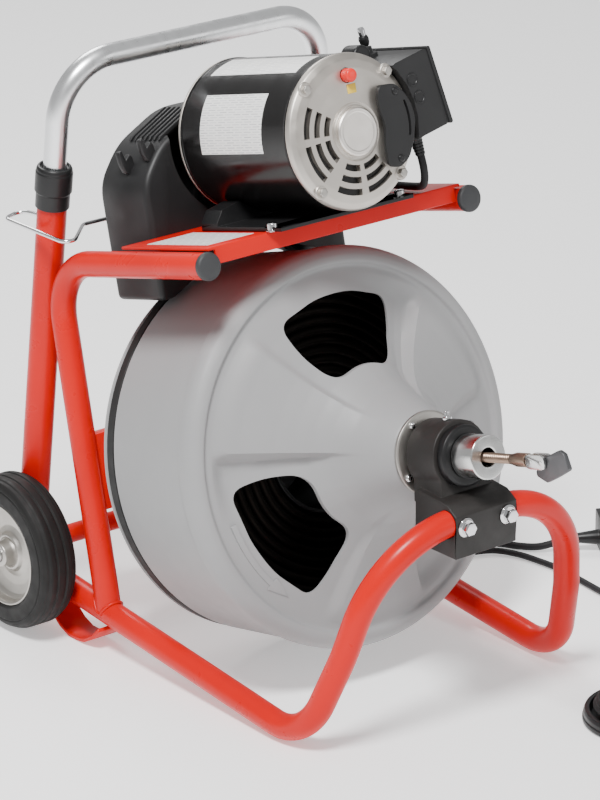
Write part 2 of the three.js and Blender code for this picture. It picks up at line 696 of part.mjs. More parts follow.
// Where the box bottom is, and which way its glands point.
const GLAND_AIM = v3(0.196, -0.237, -0.952).normalize();
const POWER_GLAND = v3(89.1, -8.2, 509.7);
const HOSE_GLAND = v3(89.1, 24.8, 501.5);

const POWER_DROP = [
  [93.8, -13.9, 486.9], [95, -16.2, 477], [97, -16, 466], [100, -11, 456.5], [105, 0, 450.8],
  [110, 22, 444.5], [116, 50, 437.5], [122, 80, 431], [126.5, 108, 424], [128, 128, 417.2],
  [128.5, 145, 405], [128.5, 158, 387], [128.5, 165, 362], [128.5, 167, 325], [128.5, 166, 280],
  [128.5, 164, 230], [128.5, 162, 180], [128.5, 161, 130], [128, 162, 85], [123, 168, 48],
  [110, 180, 19], [94, 195, 5.5], [84, 208, 4.2], [82.5, 215, 4.2],
];
const POWER_LEAD = [
  [-7, 178, 11.7], [8, 163, 9.5], [24, 150, 6], [48, 139, 4.2], [85, 133, 4.2], [125, 132, 4.2],
  [165, 134, 4.2], [205, 136, 4.2], [240, 134, 4.2], [267, 127, 4.2], [287, 115.5, 4.2], [301, 99, 4.2],
  [311, 82, 4.2], [323, 66, 5.5], [338, 54, 10.5], [352, 45, 14],
];
const HOSE_DROP = [
  [91.8, 21.5, 488.2], [93.6, 19.3, 478], [95.5, 21, 466], [98.5, 29, 455], [102, 43, 447],
  [106, 62, 440], [110, 82, 433.5], [115, 104, 427], [118, 124, 420], [118.8, 142, 408],
  [119, 155, 390], [119, 162, 364], [119, 164, 325], [119, 163, 280], [119, 161, 230],
  [119, 159, 180], [119, 158, 130], [119.5, 155, 90], [122, 148, 56], [128, 137, 29],
  [139, 124, 11], [156, 114, 4.2], [190, 108, 3.8], [230, 105, 3.8], [262, 101, 3.8], [284, 90, 3.8],
  [296, 68, 3.8], [301, 40, 3.8], [303, 12, 3.8], [300, -20, 3.8], [296, -55, 3.8], [293.5, -88, 3.8],
  [293, -112, 3.8],
];
const HOSE_LEAD = [
  [294, -121, 10.3], [295, -145, 7], [290, -175, 3.9], [272, -207, 3.8], [243, -238, 3.8],
  [212, -261, 5.4], [191.9, -269.2, 6.7],
];

const routed = (points) => points.map(([x, y, z]) => v3(x, y, z));

function freeTube(points, radius, steps, sides, coil) {
  const curve = new THREE.CatmullRomCurve3(routed(points), false, 'centripetal');
  const whole = tube(curve.getSpacedPoints(steps), radius, sides);
  return coil ? cut(whole, coilSolid(coil, GAP)) : whole;
}

// Outer shape of a neat round coil that lies on the floor.
function coilSolid(coil, grow = 0) {
  const half = coil.across * coil.radius + grow;
  const top = 0.5 + coil.layers * coil.radius * 2 + grow;
  const inner = coil.turnRadius - half;
  const outer = coil.turnRadius + half;
  const ring = turned([[inner, 0.3 - grow], [outer, 0.3 - grow], [outer, top], [inner, top]], 28);
  ring.rotateX(-Math.PI / 2);
  return ring.translate(coil.x, coil.y, 0);
}

// Turned piece whose forward axis is swung to the given direction.
function aimed(profile, segments, place, direction) {
  const geometry = turned(profile, segments);
  const swing = new THREE.Quaternion().setFromUnitVectors(v3(0, -1, 0), direction.clone().normalize());
  geometry.applyQuaternion(swing);
  return geometry.translate(place.x, place.y, place.z);
}

function makePowerCord(top) {
  const gland = [[0, GAP], [8.5, GAP], [8.5, 7], [6, 8], [4.6, 23.6], [0, 23.6]];
  top.add(mesh('cord_gland', aimed(gland, 14, POWER_GLAND, GLAND_AIM), BLACK, 0, 0.6));
  top.add(mesh('power_cord_drop', freeTube(POWER_DROP, CORD_R, 40, 8, POWER_COIL), BLACK, 0, 0.6));
  top.add(mesh('power_cord_coil', coilSolid(POWER_COIL), BLACK, 0, 0.6));
  top.add(mesh('power_cord_lead', freeTube(POWER_LEAD, CORD_R, 20, 8, POWER_COIL), BLACK, 0, 0.6));

  const relief = turned([[0, 1], [5, 1], [8, 24], [8, 30], [0, 30]], 12);
  const body = block(-24, 24, 26, 84, -13.7, 22);
  const blades = [block(-9, -6, 80, 100, -3, 3), block(6, 9, 80, 100, -3, 3), block(-2.2, 2.2, 80, 103, 7, 11.4)];
  const plug = join(relief, body, ...blades);
  plug.rotateZ(Math.atan2(14, 9));
  plug.translate(352, 45, 14);
  top.add(mesh('power_plug', plug, BLACK, 0, 0.5));
}

function makeAirHose(top) {
  const barb = [[0, GAP], [6, GAP], [6, 5], [4, 6], [4, 13.6], [0, 13.6]];
  top.add(mesh('hose_fitting', aimed(barb, 12, HOSE_GLAND, GLAND_AIM), STEEL, 1, 0.3));
  top.add(mesh('air_hose_drop', freeTube(HOSE_DROP, HOSE_R, 56, 8, HOSE_COIL), BLACK, 0, 0.6));
  top.add(mesh('air_hose_coil', coilSolid(HOSE_COIL), BLACK, 0, 0.6));
  top.add(mesh('air_hose_lead', freeTube(HOSE_LEAD, HOSE_R, 9, 8, HOSE_COIL), BLACK, 0, 0.6));
}

function makePedal(top) {
  const place = v3(129, -299, 0);
  const upward = v3(0, 0, 1);
  const pot = [[0, 0], [60, 0], [60, 9], [58, 13], [53, 13], [53, 3], [0, 3]];
  const base = aimed(pot, 28, place, upward);
  const spigot = aimed([[0, 0], [5.5, 0], [5.5, 12], [0, 12]], 10, v3(180, -274, 6.7), v3(61, 25, 0));
  top.add(mesh('pedal_base', join(base, spigot), BLACK, 0, 0.6));
  const dome = [[0, 13.3], [50, 13.3], [50, 18], [46, 29], [36, 38], [22, 43], [0, 45]];
  top.add(mesh('pedal_dome', aimed(dome, 28, place, upward), RUBBER, 0, 0.7));
}

// ---------- assembly ----------

const part = new THREE.Group();
part.name = 'drain_cleaning_machine';
const machine = new THREE.Group();
machine.position.set(0, SHIFT_Y, LIFT_Z);
part.add(machine);
const drive = new THREE.Group();
drive.position.set(0, DRUM_Y, DRUM_Z);
drive.rotation.x = -TILT;
machine.add(drive);

makeFrame(machine);
makeHandle(machine);
makeWheels(machine);
makeDrum(drive);
makeCable(drive);
makeBracket(machine, drive);
makeDeck(drive);
makeMotor(drive);
makeBeltDrive(drive);
makePowerCord(part);
makeAirHose(part);
makePedal(part);

export default part;
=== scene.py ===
"""Looks of the drum drain cleaning machine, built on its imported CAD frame.

Shapes are written in millimetres and turned into metres as each piece is made.
"""

import math

import bmesh
import bpy
from mathutils import Matrix, Vector


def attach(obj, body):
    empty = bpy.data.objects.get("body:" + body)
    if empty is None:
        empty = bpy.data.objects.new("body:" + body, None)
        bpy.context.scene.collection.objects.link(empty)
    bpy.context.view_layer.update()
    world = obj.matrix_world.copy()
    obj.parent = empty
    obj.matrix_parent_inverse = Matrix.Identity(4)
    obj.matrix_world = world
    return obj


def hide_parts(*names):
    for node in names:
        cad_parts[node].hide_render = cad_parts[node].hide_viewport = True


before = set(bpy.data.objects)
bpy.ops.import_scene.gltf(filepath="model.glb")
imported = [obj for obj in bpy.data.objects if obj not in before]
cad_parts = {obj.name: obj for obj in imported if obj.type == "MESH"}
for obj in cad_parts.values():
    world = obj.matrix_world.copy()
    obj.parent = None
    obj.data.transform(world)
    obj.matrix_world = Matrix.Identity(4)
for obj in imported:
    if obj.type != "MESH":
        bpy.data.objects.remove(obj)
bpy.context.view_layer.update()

MM = 0.001
TILT = math.radians(14)
DRIVE = Matrix.Translation((0, -16.6, 219.4)) @ Matrix.Rotation(-TILT, 4, "X")
FLAT = Matrix.Identity(4)
UPWARD = (0, 0, 1)
SHIFT_Y = -120.5
LIFT_Z = 0.4
TUBE_R = 12.5
SIDE_X = 156
AXLE = Vector((0, 252, 79.9))
SOCKET_LEAN = 0.139
UPRIGHT_LEAN = 0.217
RAIL_SLOPE = 0.0971
DECK_TOP = 222.8
DRUM_NOSE_R = 19.8
MOTOR_V = 300
MOTOR_R = 72
IDLER_X = 50
IDLER_V = 210
BELT_BACK = 127
BELL_BOLT = 47.5
BUTTON_V = MOTOR_V + 52
BOX_FOOT = Vector((81.8, 320.2))
BOX_LEAN = math.radians(11.3)
POWER_R = 3.75
HOSE_R = 3.25
COIL_HUB_POWER = (30, 215)
COIL_HUB_HOSE = (336.5, -112)
CAMERA_PLACE = (-2.3664, -2.8814, 1.6663)
CAMERA_RIGHT = Vector((0.77587, -0.63089, -0.00407))
CAMERA_UP = Vector((0.22483, 0.27046, 0.93611))
CAMERA_BACK = Vector((-0.58948, -0.72721, 0.35168))


# ---------- materials ----------

def new_material(name, colour, roughness, metallic=0.0, shine=0.5):
    material = bpy.data.materials.new(name)
    material.use_nodes = True
    shader = material.node_tree.nodes["Principled BSDF"]
    shader.inputs["Base Color"].default_value = (*colour, 1)
    shader.inputs["Roughness"].default_value = roughness
    shader.inputs["Metallic"].default_value = metallic
    shader.inputs["Specular IOR Level"].default_value = shine
    return material


def add_noise(material, scale, stretch=(1, 1, 1), detail=4):
    tree = material.node_tree
    place = tree.nodes.new("ShaderNodeTexCoord")
    mapping = tree.nodes.new("ShaderNodeMapping")
    mapping.inputs["Scale"].default_value = stretch
    texture = tree.nodes.new("ShaderNodeTexNoise")
    texture.inputs["Scale"].default_value = scale
    texture.inputs["Detail"].default_value = detail
    tree.links.new(place.outputs["Object"], mapping.inputs["Vector"])
    tree.links.new(mapping.outputs["Vector"], texture.inputs["Vector"])
    return texture


def roughen(material, scale, low, high, stretch=(1, 1, 1)):
    tree = material.node_tree
    texture = add_noise(material, scale, stretch)
    spread = tree.nodes.new("ShaderNodeMapRange")
    spread.inputs["From Min"].default_value = 0.3
    spread.inputs["From Max"].default_value = 0.7
    spread.inputs["To Min"].default_value = low
    spread.inputs["To Max"].default_value = high
    tree.links.new(texture.outputs["Fac"], spread.inputs["Value"])
    shader = tree.nodes["Principled BSDF"]
    tree.links.new(spread.outputs["Result"], shader.inputs["Roughness"])


def vary_colour(material, scale, dark, light, stretch=(1, 1, 1)):
    tree = material.node_tree
    texture = add_noise(material, scale, stretch)
    ramp = tree.nodes.new("ShaderNodeValToRGB")
    ramp.color_ramp.elements[0].position = 0.35
    ramp.color_ramp.elements[1].position = 0.65
    ramp.color_ramp.elements[0].color = (*dark, 1)
    ramp.color_ramp.elements[1].color = (*light, 1)
    tree.links.new(texture.outputs["Fac"], ramp.inputs["Fac"])
    shader = tree.nodes["Principled BSDF"]
    tree.links.new(ramp.outputs["Color"], shader.inputs["Base Color"])


def bump(material, scale, depth_mm, stretch=(1, 1, 1)):
    tree = material.node_tree
    texture = add_noise(material, scale, stretch, detail=3)
    node = tree.nodes.new("ShaderNodeBump")
    node.inputs["Strength"].default_value = 1.0
    node.inputs["Distance"].default_value = depth_mm * MM
    tree.links.new(texture.outputs["Fac"], node.inputs["Height"])
    shader = tree.nodes["Principled BSDF"]
    tree.links.new(node.outputs["Normal"], shader.inputs["Normal"])


def make_red():
    material = new_material("red_powder_coat", (0.60, 0.003, 0.001), 0.3, shine=0.22)
    vary_colour(material, 9, (0.57, 0.0028, 0.0008), (0.63, 0.0035, 0.0012))
    roughen(material, 40, 0.26, 0.36)
    bump(material, 300, 0.010)
    return material


def make_drum_grey():
    material = new_material("drum_grey_plastic", (0.30, 0.30, 0.303), 0.48, shine=0.35)
    vary_colour(material, 6, (0.285, 0.285, 0.288), (0.31, 0.31, 0.314))
    roughen(material, 60, 0.42, 0.52)
    bump(material, 700, 0.02)
    return material


def make_cast(name, colour):
    material = new_material(name, colour, 0.5, shine=0.35)
    roughen(material, 90, 0.42, 0.58)
    bump(material, 900, 0.05)
    return material


def make_plastic(name, colour, roughness):
    material = new_material(name, colour, roughness, shine=0.35)
    roughen(material, 50, roughness - 0.06, roughness + 0.06)
    bump(material, 1100, 0.02)
    return material


def make_metal(name, colour, roughness, stretch=(1, 1, 1)):
    material = new_material(name, colour, roughness, 1.0)
    roughen(material, 70, roughness - 0.07, roughness + 0.08, stretch)
    bump(material, 600, 0.008, stretch)
    return material


def make_rubber(name, colour):
    material = new_material(name, colour, 0.62, shine=0.3)
    vary_colour(material, 30, colour, tuple(c * 1.35 for c in colour))
    roughen(material, 80, 0.52, 0.7)
    bump(material, 900, 0.03)
    return material


def make_label(name, rows, paper=(0.86, 0.86, 0.84)):
    """White sticker with plain grey dashes in place of print."""
    material = new_material(name, paper, 0.35)
    tree = material.node_tree
    place = tree.nodes.new("ShaderNodeTexCoord")
    bricks = tree.nodes.new("ShaderNodeTexBrick")
    bricks.offset = 0.37
    bricks.inputs["Color1"].default_value = (0.38, 0.38, 0.40, 1)
    bricks.inputs["Color2"].default_value = (0.66, 0.66, 0.67, 1)
    bricks.inputs["Mortar"].default_value = (*paper, 1)
    bricks.inputs["Scale"].default_value = rows
    bricks.inputs["Mortar Size"].default_value = 0.037
    bricks.inputs["Brick Width"].default_value = 0.34
    bricks.inputs["Row Height"].default_value = 0.1
    tree.links.new(place.outputs["UV"], bricks.inputs["Vector"])
    shader = tree.nodes["Principled BSDF"]
    tree.links.new(bricks.outputs["Color"], shader.inputs["Base Color"])
    return material


RED = make_red()
GREY = make_drum_grey()
CASTING = make_cast("charcoal_casting", (0.017, 0.015, 0.014))
GUARD = make_plastic("charcoal_plastic", (0.013, 0.013, 0.0135), 0.44)
BLACK = make_plastic("black_plastic", (0.009, 0.009, 0.0095), 0.4)
CAP = make_plastic("cap_plastic", (0.035, 0.036, 0.038), 0.5)
ENAMEL = make_plastic("black_enamel", (0.005, 0.0045, 0.0045), 0.2)
BELL = make_metal("bell_casting", (0.56, 0.525, 0.48), 0.46)
DUST = make_metal("dust_cap_metal", (0.80, 0.76, 0.71), 0.36)
POLISHED = make_metal("polished_aluminium", (0.86, 0.87, 0.88), 0.3, (1, 1, 0.1))
ZINC = make_metal("zinc_plate", (0.47, 0.45, 0.42), 0.42)
CHROME = make_metal("chrome", (0.75, 0.75, 0.76), 0.14)
MACHINED = make_metal("machined_steel", (0.68, 0.68, 0.67), 0.2)
BRONZE = make_metal("cable_steel", (0.30, 0.215, 0.165), 0.36)
# Near-black copy of the cable steel: painted shade for the turns stored inside the drum.
SHADED_CABLE = make_metal("stored_cable_steel", (0.012, 0.010, 0.009), 0.55)
HEAD = make_metal("head_steel", (0.13, 0.13, 0.135), 0.48)
TYRE = make_rubber("tyre_rubber", (0.006, 0.0057, 0.0055))
BELT = make_rubber("belt_rubber", (0.012, 0.012, 0.012))
CORD = make_rubber("cord_jacket", (0.010, 0.010, 0.011))
BUTTON = make_plastic("red_plastic", (0.72, 0.02, 0.015), 0.25)
YELLOW = make_plastic("yellow_tag", (0.75, 0.52, 0.06), 0.45)
PLATE = make_label("rating_plate", 2.4)
STRIP = make_label("plain_label", 1.6)


# ---------- mesh tools ----------

def finish_piece(name, mesh, material, body, replaces=(), sharp=35):
    piece = bpy.data.objects.new(name, mesh)
    bpy.context.collection.objects.link(piece)
    mesh.materials.clear()
    mesh.materials.append(material)
    shade(mesh, sharp)
    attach(piece, body)
    if replaces:
        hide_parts(*replaces)
    return piece


def shade(mesh, sharp):
    work = bmesh.new()
    work.from_mesh(mesh)
    bmesh.ops.recalc_face_normals(work, faces=work.faces)
    limit = math.radians(sharp)
    for face in work.faces:
        face.smooth = True
    for edge in work.edges:
        edge.smooth = len(edge.link_faces) == 2 and edge.calc_face_angle(0) < limit
    work.to_mesh(mesh)
    work.free()
    mesh.update()


def mesh_from(name, vertices, faces, place=FLAT):
    mesh = bpy.data.meshes.new(name)
    points = [(place @ Vector(v)) * MM for v in vertices]
    mesh.from_pydata(points, [], faces)
    mesh.update()
    return mesh


def softened(profile, radius, closed=False, steps=4):
    """Rounds the corners of an outline."""
    points = [Vector(p) for p in profile]
    count = len(points)
    result = []
    for i, here in enumerate(points):
        if not closed and i in (0, count - 1):
            result.append(tuple(here))
            continue
        before = points[i - 1] - here
        after = points[(i + 1) % count] - here
        reach = min(radius, before.length * 0.45, after.length * 0.45)
        start = here + before.normalized() * reach
        end = here + after.normalized() * reach
        for k in range(steps + 1):
            t = k / steps
            first = start.lerp(here, t)
            second = here.lerp(end, t)
            result.append(tuple(first.lerp(second, t)))
    return result


def turned_mesh(name, profile, segments=96, place=DRIVE, soften=0.0, change=None):
    """Turned piece about the forward axis: the profile lists (radius, distance forward)."""
    open_ended = profile[0][0] == 0
    if soften:
        profile = softened(profile, soften, closed=not open_ended)
    vertices = []
    rings = []
    for r, g in profile:
        if r < 1e-6:
            rings.append([len(vertices)] * segments)
            vertices.append((0, -g, 0))
            continue
        rings.append(list(range(len(vertices), len(vertices) + segments)))
        for k in range(segments):
            angle = 2 * math.pi * k / segments
            forward = g if change is None else g + change(math.degrees(angle), r)
            vertices.append((r * math.cos(angle), -forward, r * math.sin(angle)))
    faces = []
    pairs = list(zip(rings, rings[1:]))
    if not open_ended:
        pairs.append((rings[-1], rings[0]))
    for one, other in pairs:
        for k in range(segments):
            n = (k + 1) % segments
            corners = []
            for v in (one[k], one[n], other[n], other[k]):
                if v not in corners:
                    corners.append(v)
            if len(corners) > 2:
                faces.append(corners)
    return mesh_from(name, vertices, faces, place)


def turned_piece(
    name, profile, segments, material, body, replaces=(), place=DRIVE, soften=0.0,
):
    mesh = turned_mesh(name, profile, segments, place, soften)
    return finish_piece(name, mesh, material, body, replaces)


def turned_node(node, profile, segments, material, body, place=DRIVE, soften=0.0):
    """Turned look of a CAD node."""
    return turned_piece(f"{node}_look", profile, segments, material, body, (node,), place, soften)


def axis_place(origin, direction):
    """Place whose forward axis (-Y) points along the direction."""
    swing = Vector((0, -1, 0)).rotation_difference(Vector(direction).normalized())
    return Matrix.Translation(origin) @ swing.to_matrix().to_4x4()


def sweep_mesh(name, stations, radius, sides=40, place=FLAT, ripple=None):
    points = [Vector(p) for p in stations]
    count = len(points)
    tangents = []
    for i in range(count):
        before = points[max(i - 1, 0)]
        after = points[min(i + 1, count - 1)]
        tangents.append((after - before).normalized())
    side = tangents[0].orthogonal().normalized()
    vertices = []
    travelled = 0.0
    for i in range(count):
        if i:
            travelled += (points[i] - points[i - 1]).length
            swing = tangents[i - 1].rotation_difference(tangents[i])
            side = swing @ side
        other = tangents[i].cross(side)
        for k in range(sides):
            angle = 2 * math.pi * k / sides
            r = radius if ripple is None else radius + ripple(travelled, angle)
            vertices.append(points[i] + side * (r * math.cos(angle)) + other * (r * math.sin(angle)))
    faces = []
    for i in range(count - 1):
        for k in range(sides):
            n = (k + 1) % sides
            faces.append((i * sides + k, i * sides + n, (i + 1) * sides + n, (i + 1) * sides + k))
    faces.append(tuple(range(sides)))
    faces.append(tuple(range((count - 1) * sides, count * sides)))
    return mesh_from(name, vertices, faces, place)


def bent(corners, radii, step=4):
    """Stations of a path whose inner corners are rounded to the given radii."""
    points = [Vector(c) for c in corners]
    stations = [points[0]]
    for i in range(1, len(points) - 1):
        back = (points[i - 1] - points[i]).normalized()
        ahead = (points[i + 1] - points[i]).normalized()
        turn = math.pi - back.angle(ahead)
        radius = radii[i - 1]
        start = points[i] + back * (radius * math.tan(turn / 2))
        centre = points[i] + (back + ahead).normalized() * (radius / math.cos(turn / 2))
        axis = (-back).cross(ahead).normalized()
        steps = max(1, math.ceil(math.degrees(turn) / step))
        for k in range(steps + 1):
            swing = Matrix.Rotation(turn * k / steps, 3, axis)
            stations.append(centre + swing @ (start - centre))
    stations.append(points[-1])
    return stations


def plate_mesh(name, outline, back, front, place=DRIVE):
    """Flat piece standing across the forward axis: outline in (across, up)."""
    count = len(outline)
    vertices = [(x, -back, u) for x, u in outline] + [(x, -front, u) for x, u in outline]
    faces = [tuple(range(count)), tuple(range(2 * count - 1, count - 1, -1))]
    for k in range(count):
        n = (k + 1) % count
        faces.append((k, k + count, n + count, n))
    return mesh_from(name, vertices, faces, place)


def circle(radius, sides, x=0, u=0):
    step = 2 * math.pi / sides
    return [(x + radius * math.cos(k * step), u + radius * math.sin(k * step)) for k in range(sides)]


def arc_points(x, v, radius, start, stop, steps):
    points = []
    for k in range(steps + 1):
        angle = math.radians(start + (stop - start) * k / steps)
        points.append((x + radius * math.cos(angle), v + radius * math.sin(angle)))
    return points


def bar_faces(count):
    """Faces of a four-cornered bar that has that many stations."""
    last = 4 * (count - 1)
    faces = [(0, 1, 3, 2), (last, last + 2, last + 3, last + 1)]
    for a in range(0, last, 4):
        b = a + 4
        faces += [
            (a, b, b + 1, a + 1), (a + 2, a + 3, b + 3, b + 2),
            (a, a + 2, b + 2, b), (a + 1, b + 1, b + 3, a + 3),
        ]
    return faces


def evaluated(piece):
    """Mesh of the piece with its modifiers applied."""
    graph = bpy.context.evaluated_depsgraph_get()
    return bpy.data.meshes.new_from_object(piece.evaluated_get(graph))


def carved(mesh, cutters, operation="DIFFERENCE"):
    """Cuts the cutter meshes out of the mesh, or joins them on."""
    body = bpy.data.objects.new("carving", mesh)
    bpy.context.collection.objects.link(body)
    tools = []
    for cutter in cutters:
        shade(cutter, 30)
        tool = bpy.data.objects.new("cutter", cutter)
        bpy.context.collection.objects.link(tool)
        step = body.modifiers.new("cut", "BOOLEAN")
        step.operation = operation
        step.object = tool
        step.solver = "EXACT"
        tools.append(tool)
    bpy.context.view_layer.update()
    result = evaluated(body)
    for tool in tools + [body]:
        bpy.data.objects.remove(tool)
    return result


def bevelled(mesh, width, segments=3, angle=28):
    body = bpy.data.objects.new("bevelling", mesh)
    bpy.context.collection.objects.link(body)
    step = body.modifiers.new("bevel", "BEVEL")
    step.width = width * MM
    step.segments = segments
    step.limit_method = "ANGLE"
    step.angle_limit = math.radians(angle)
    step.use_clamp_overlap = True
    bpy.context.view_layer.update()
    result = evaluated(body)
    bpy.data.objects.remove(body)
    return result


def skin(node, material, body, bevel=1.0, name=None, angle=28, sharp=32):
    """A finer copy of a CAD node: welded, with its flat faces merged and its edges rounded."""
    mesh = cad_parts[node].data.copy()
    work = bmesh.new()
    work.from_mesh(mesh)
    bmesh.ops.remove_doubles(work, verts=work.verts, dist=1e-5)
    bmesh.ops.dissolve_limit(work, angle_limit=math.radians(1.5), verts=work.verts, edges=work.edges)
    work.to_mesh(mesh)
    work.free()
    mesh = bevelled(mesh, bevel, angle=angle)
    return finish_piece(name or f"{node}_look", mesh, material, body, (node,), sharp)


# ---------- camera, floor and light ----------

def make_camera():
    lens = bpy.data.cameras.new("camera")
    lens.sensor_fit = "HORIZONTAL"
    lens.sensor_width = 36
    lens.lens = 254.54
    lens.shift_x = -0.0142
    lens.shift_y = -0.0063
    lens.clip_end = 50
    camera = bpy.data.objects.new("camera", lens)
    turn = Matrix((CAMERA_RIGHT, CAMERA_UP, CAMERA_BACK)).transposed().to_4x4()
    camera.matrix_world = Matrix.Translation(CAMERA_PLACE) @ turn
    bpy.context.collection.objects.link(camera)
    bpy.context.scene.camera = camera


def area_light(name, place, target, size, power, colour=(1, 1, 1)):
    data = bpy.data.lights.new(name, "AREA")
    data.shape = "DISK"
    data.size = size
    data.energy = power
    data.color = colour
    lamp = bpy.data.objects.new(name, data)
    lamp.location = place
    aim = Vector(target) - Vector(place)
    lamp.rotation_euler = aim.to_track_quat("-Z", "Y").to_euler()
    bpy.context.collection.objects.link(lamp)


def make_stage():
    bpy.ops.mesh.primitive_plane_add(size=40, location=(0, 0, -0.0005))
    floor = bpy.context.object
    floor.name = "floor"
    pale = new_material("pale_floor", (0.95, 0.95, 0.95), 0.75)
    shader = pale.node_tree.nodes["Principled BSDF"]
    shader.inputs["Emission Color"].default_value = (1, 1, 1, 1)
    shader.inputs["Emission Strength"].default_value = 0.45
    floor.data.materials.append(pale)
    world = bpy.data.worlds.new("studio")
    world.use_nodes = True
    world.node_tree.nodes["Background"].inputs["Color"].default_value = (1, 1, 1, 1)
    world.node_tree.nodes["Background"].inputs["Strength"].default_value = 0.5
    bpy.context.scene.world = world
    area_light("key", (-1.1, -0.8, 2.7), (0, 0, 0.3), 0.7, 120)
    area_light("fill", (1.6, -2.2, 1.2), (0, 0, 0.3), 1.2, 6)
    area_light("rim", (0.6, 2.2, 2.2), (0, 0, 0.4), 1.2, 34)


# ---------- cords ----------

POWER_DROP = [
    (93.8, -13.9, 486.9), (95, -16.2, 477), (97, -16, 466), (100, -11, 456.5), (105, 0, 450.8),
    (110, 22, 444.5), (116, 50, 437.5), (122, 80, 431), (126.5, 108, 424), (128, 128, 417.2),
    (128.5, 145, 405), (128.5, 158, 387), (128.5, 165, 362), (128.5, 167, 325), (128.5, 166, 280),
    (128.5, 164, 230), (128.5, 162, 180), (128.5, 161, 130), (128, 162, 85), (123, 168, 48),
    (110, 180, 19), (94, 195, 5.5), (84, 208, 4.2), (82.5, 215, 4.2),
]
POWER_LEAD = [
    (-7, 178, 11.7), (8, 163, 9.5), (24, 150, 6), (48, 139, 4.2), (85, 133, 4.2), (125, 132, 4.2),
    (165, 134, 4.2), (205, 136, 4.2), (240, 134, 4.2), (267, 127, 4.2), (287, 115.5, 4.2), (301, 99, 4.2),
    (311, 82, 4.2), (323, 66, 5.5), (338, 54, 10.5), (352, 45, 14),
]
HOSE_DROP = [
    (91.8, 21.5, 488.2), (93.6, 19.3, 478), (95.5, 21, 466), (98.5, 29, 455), (102, 43, 447),
    (106, 62, 440), (110, 82, 433.5), (115, 104, 427), (118, 124, 420), (118.8, 142, 408),
    (119, 155, 390), (119, 162, 364), (119, 164, 325), (119, 163, 280), (119, 161, 230),
    (119, 159, 180), (119, 158, 130), (119.5, 155, 90), (122, 148, 56), (128, 137, 29),
    (139, 124, 11), (156, 114, 4.2), (190, 108, 3.8), (230, 105, 3.8), (262, 101, 3.8), (284, 90, 3.8),
    (296, 68, 3.8), (301, 40, 3.8), (303, 12, 3.8), (300, -20, 3.8), (296, -55, 3.8), (293.5, -88, 3.8),
    (293, -112, 3.8),
]
HOSE_LEAD = [
    (294, -121, 10.3), (295, -145, 7), (290, -175, 3.9), (272, -207, 3.8), (243, -238, 3.8),
    (212, -261, 5.4), (191.9, -269.2, 6.7),
]


def smooth_run(points, spacing=4.0):
    """Centripetal curve through the points, sampled evenly enough for a cord."""
    route = [Vector(p) for p in points]
    route = [route[0] * 2 - route[1]] + route + [route[-1] * 2 - route[-2]]
    run = []
    for i in range(1, len(route) - 2):
        a, b, c, d = route[i - 1:i + 3]
        t0 = 0.0
        t1 = t0 + math.sqrt((b - a).length)
        t2 = t1 + math.sqrt((c - b).length)
        t3 = t2 + math.sqrt((d - c).length)
        pieces = max(2, round((c - b).length / spacing))
        for k in range(pieces):
            t = t1 + (t2 - t1) * k / pieces
            ab = a * ((t1 - t) / (t1 - t0)) + b * ((t - t0) / (t1 - t0))
            bc = b * ((t2 - t) / (t2 - t1)) + c * ((t - t1) / (t2 - t1))
            cd = c * ((t3 - t) / (t3 - t2)) + d * ((t - t2) / (t3 - t2))
            abc = ab * ((t2 - t) / (t2 - t0)) + bc * ((t - t0) / (t2 - t0))
            bcd = bc * ((t3 - t) / (t3 - t1)) + cd * ((t - t1) / (t3 - t1))
            run.append(abc * ((t2 - t) / (t2 - t1)) + bcd * ((t - t1) / (t2 - t1)))
    run.append(route[-2])
    return run


def coil_turns(x, y, radii, heights, start, degrees, per_turn=40):
    """Turns that lie beside and on each other, each easing into the next over its last part."""
    points = []
    steps = round(per_turn * degrees / 360)
    for k in range(1, steps):
        turned = degrees * k / steps
        turn = int(turned // 360)
        share = (turned % 360) / 360
        ease = max(0.0, (share - 0.8) / 0.2)
        ease = ease * ease * (3 - 2 * ease)
        follow = min(turn + 1, len(radii) - 1)
        r = radii[turn] + (radii[follow] - radii[turn]) * ease
        z = heights[turn] + (heights[follow] - heights[turn]) * ease
        angle = math.radians(start + turned)
        points.append(Vector((x + r * math.cos(angle), y + r * math.sin(angle), z)))
    return points


def make_free_cord(name, run, radius, replaces):
    data = bpy.data.curves.new(name, "CURVE")
    data.dimensions = "3D"
    data.bevel_depth = radius * MM
    data.bevel_resolution = 5
    spline = data.splines.new("POLY")
    spline.points.add(len(run) - 1)
    for point, place in zip(spline.points, run):
        point.co = (*(place * MM), 1)
    data.materials.append(CORD)
    piece = bpy.data.objects.new(name, data)
    bpy.context.collection.objects.link(piece)
    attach(piece, "frame")
    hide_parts(*replaces)
    return piece


def make_cords(plug_pieces, pedal_pieces):
    radii = [45 + 2 * POWER_R * k for k in (1, 0, -1, -1, 0, 1)]
    coil = coil_turns(*COIL_HUB_POWER, radii, [4.2] * 3 + [11.7] * 3, 0, 2025)
    power = smooth_run(POWER_DROP) + coil + smooth_run(POWER_LEAD)
    make_free_cord(
        "power_cord", power, POWER_R, ("power_cord_drop", "power_cord_coil", "power_cord_lead"),
    )
    radii = [37 + 2 * HOSE_R * k for k in (1, 0, 0, 1, 1)]
    coil = coil_turns(*COIL_HUB_HOSE, radii, [3.8] * 2 + [10.3] * 3, 180, 1452)
    hose = smooth_run(HOSE_DROP) + coil + smooth_run(HOSE_LEAD)
    make_free_cord(
        "air_hose", hose, HOSE_R, ("air_hose_drop", "air_hose_coil", "air_hose_lead"),
    )


GLAND_AIM = (0.196, -0.237, -0.952)
POWER_GLAND = (89.1, -8.2, 509.7)
HOSE_GLAND = (89.1, 24.8, 501.5)


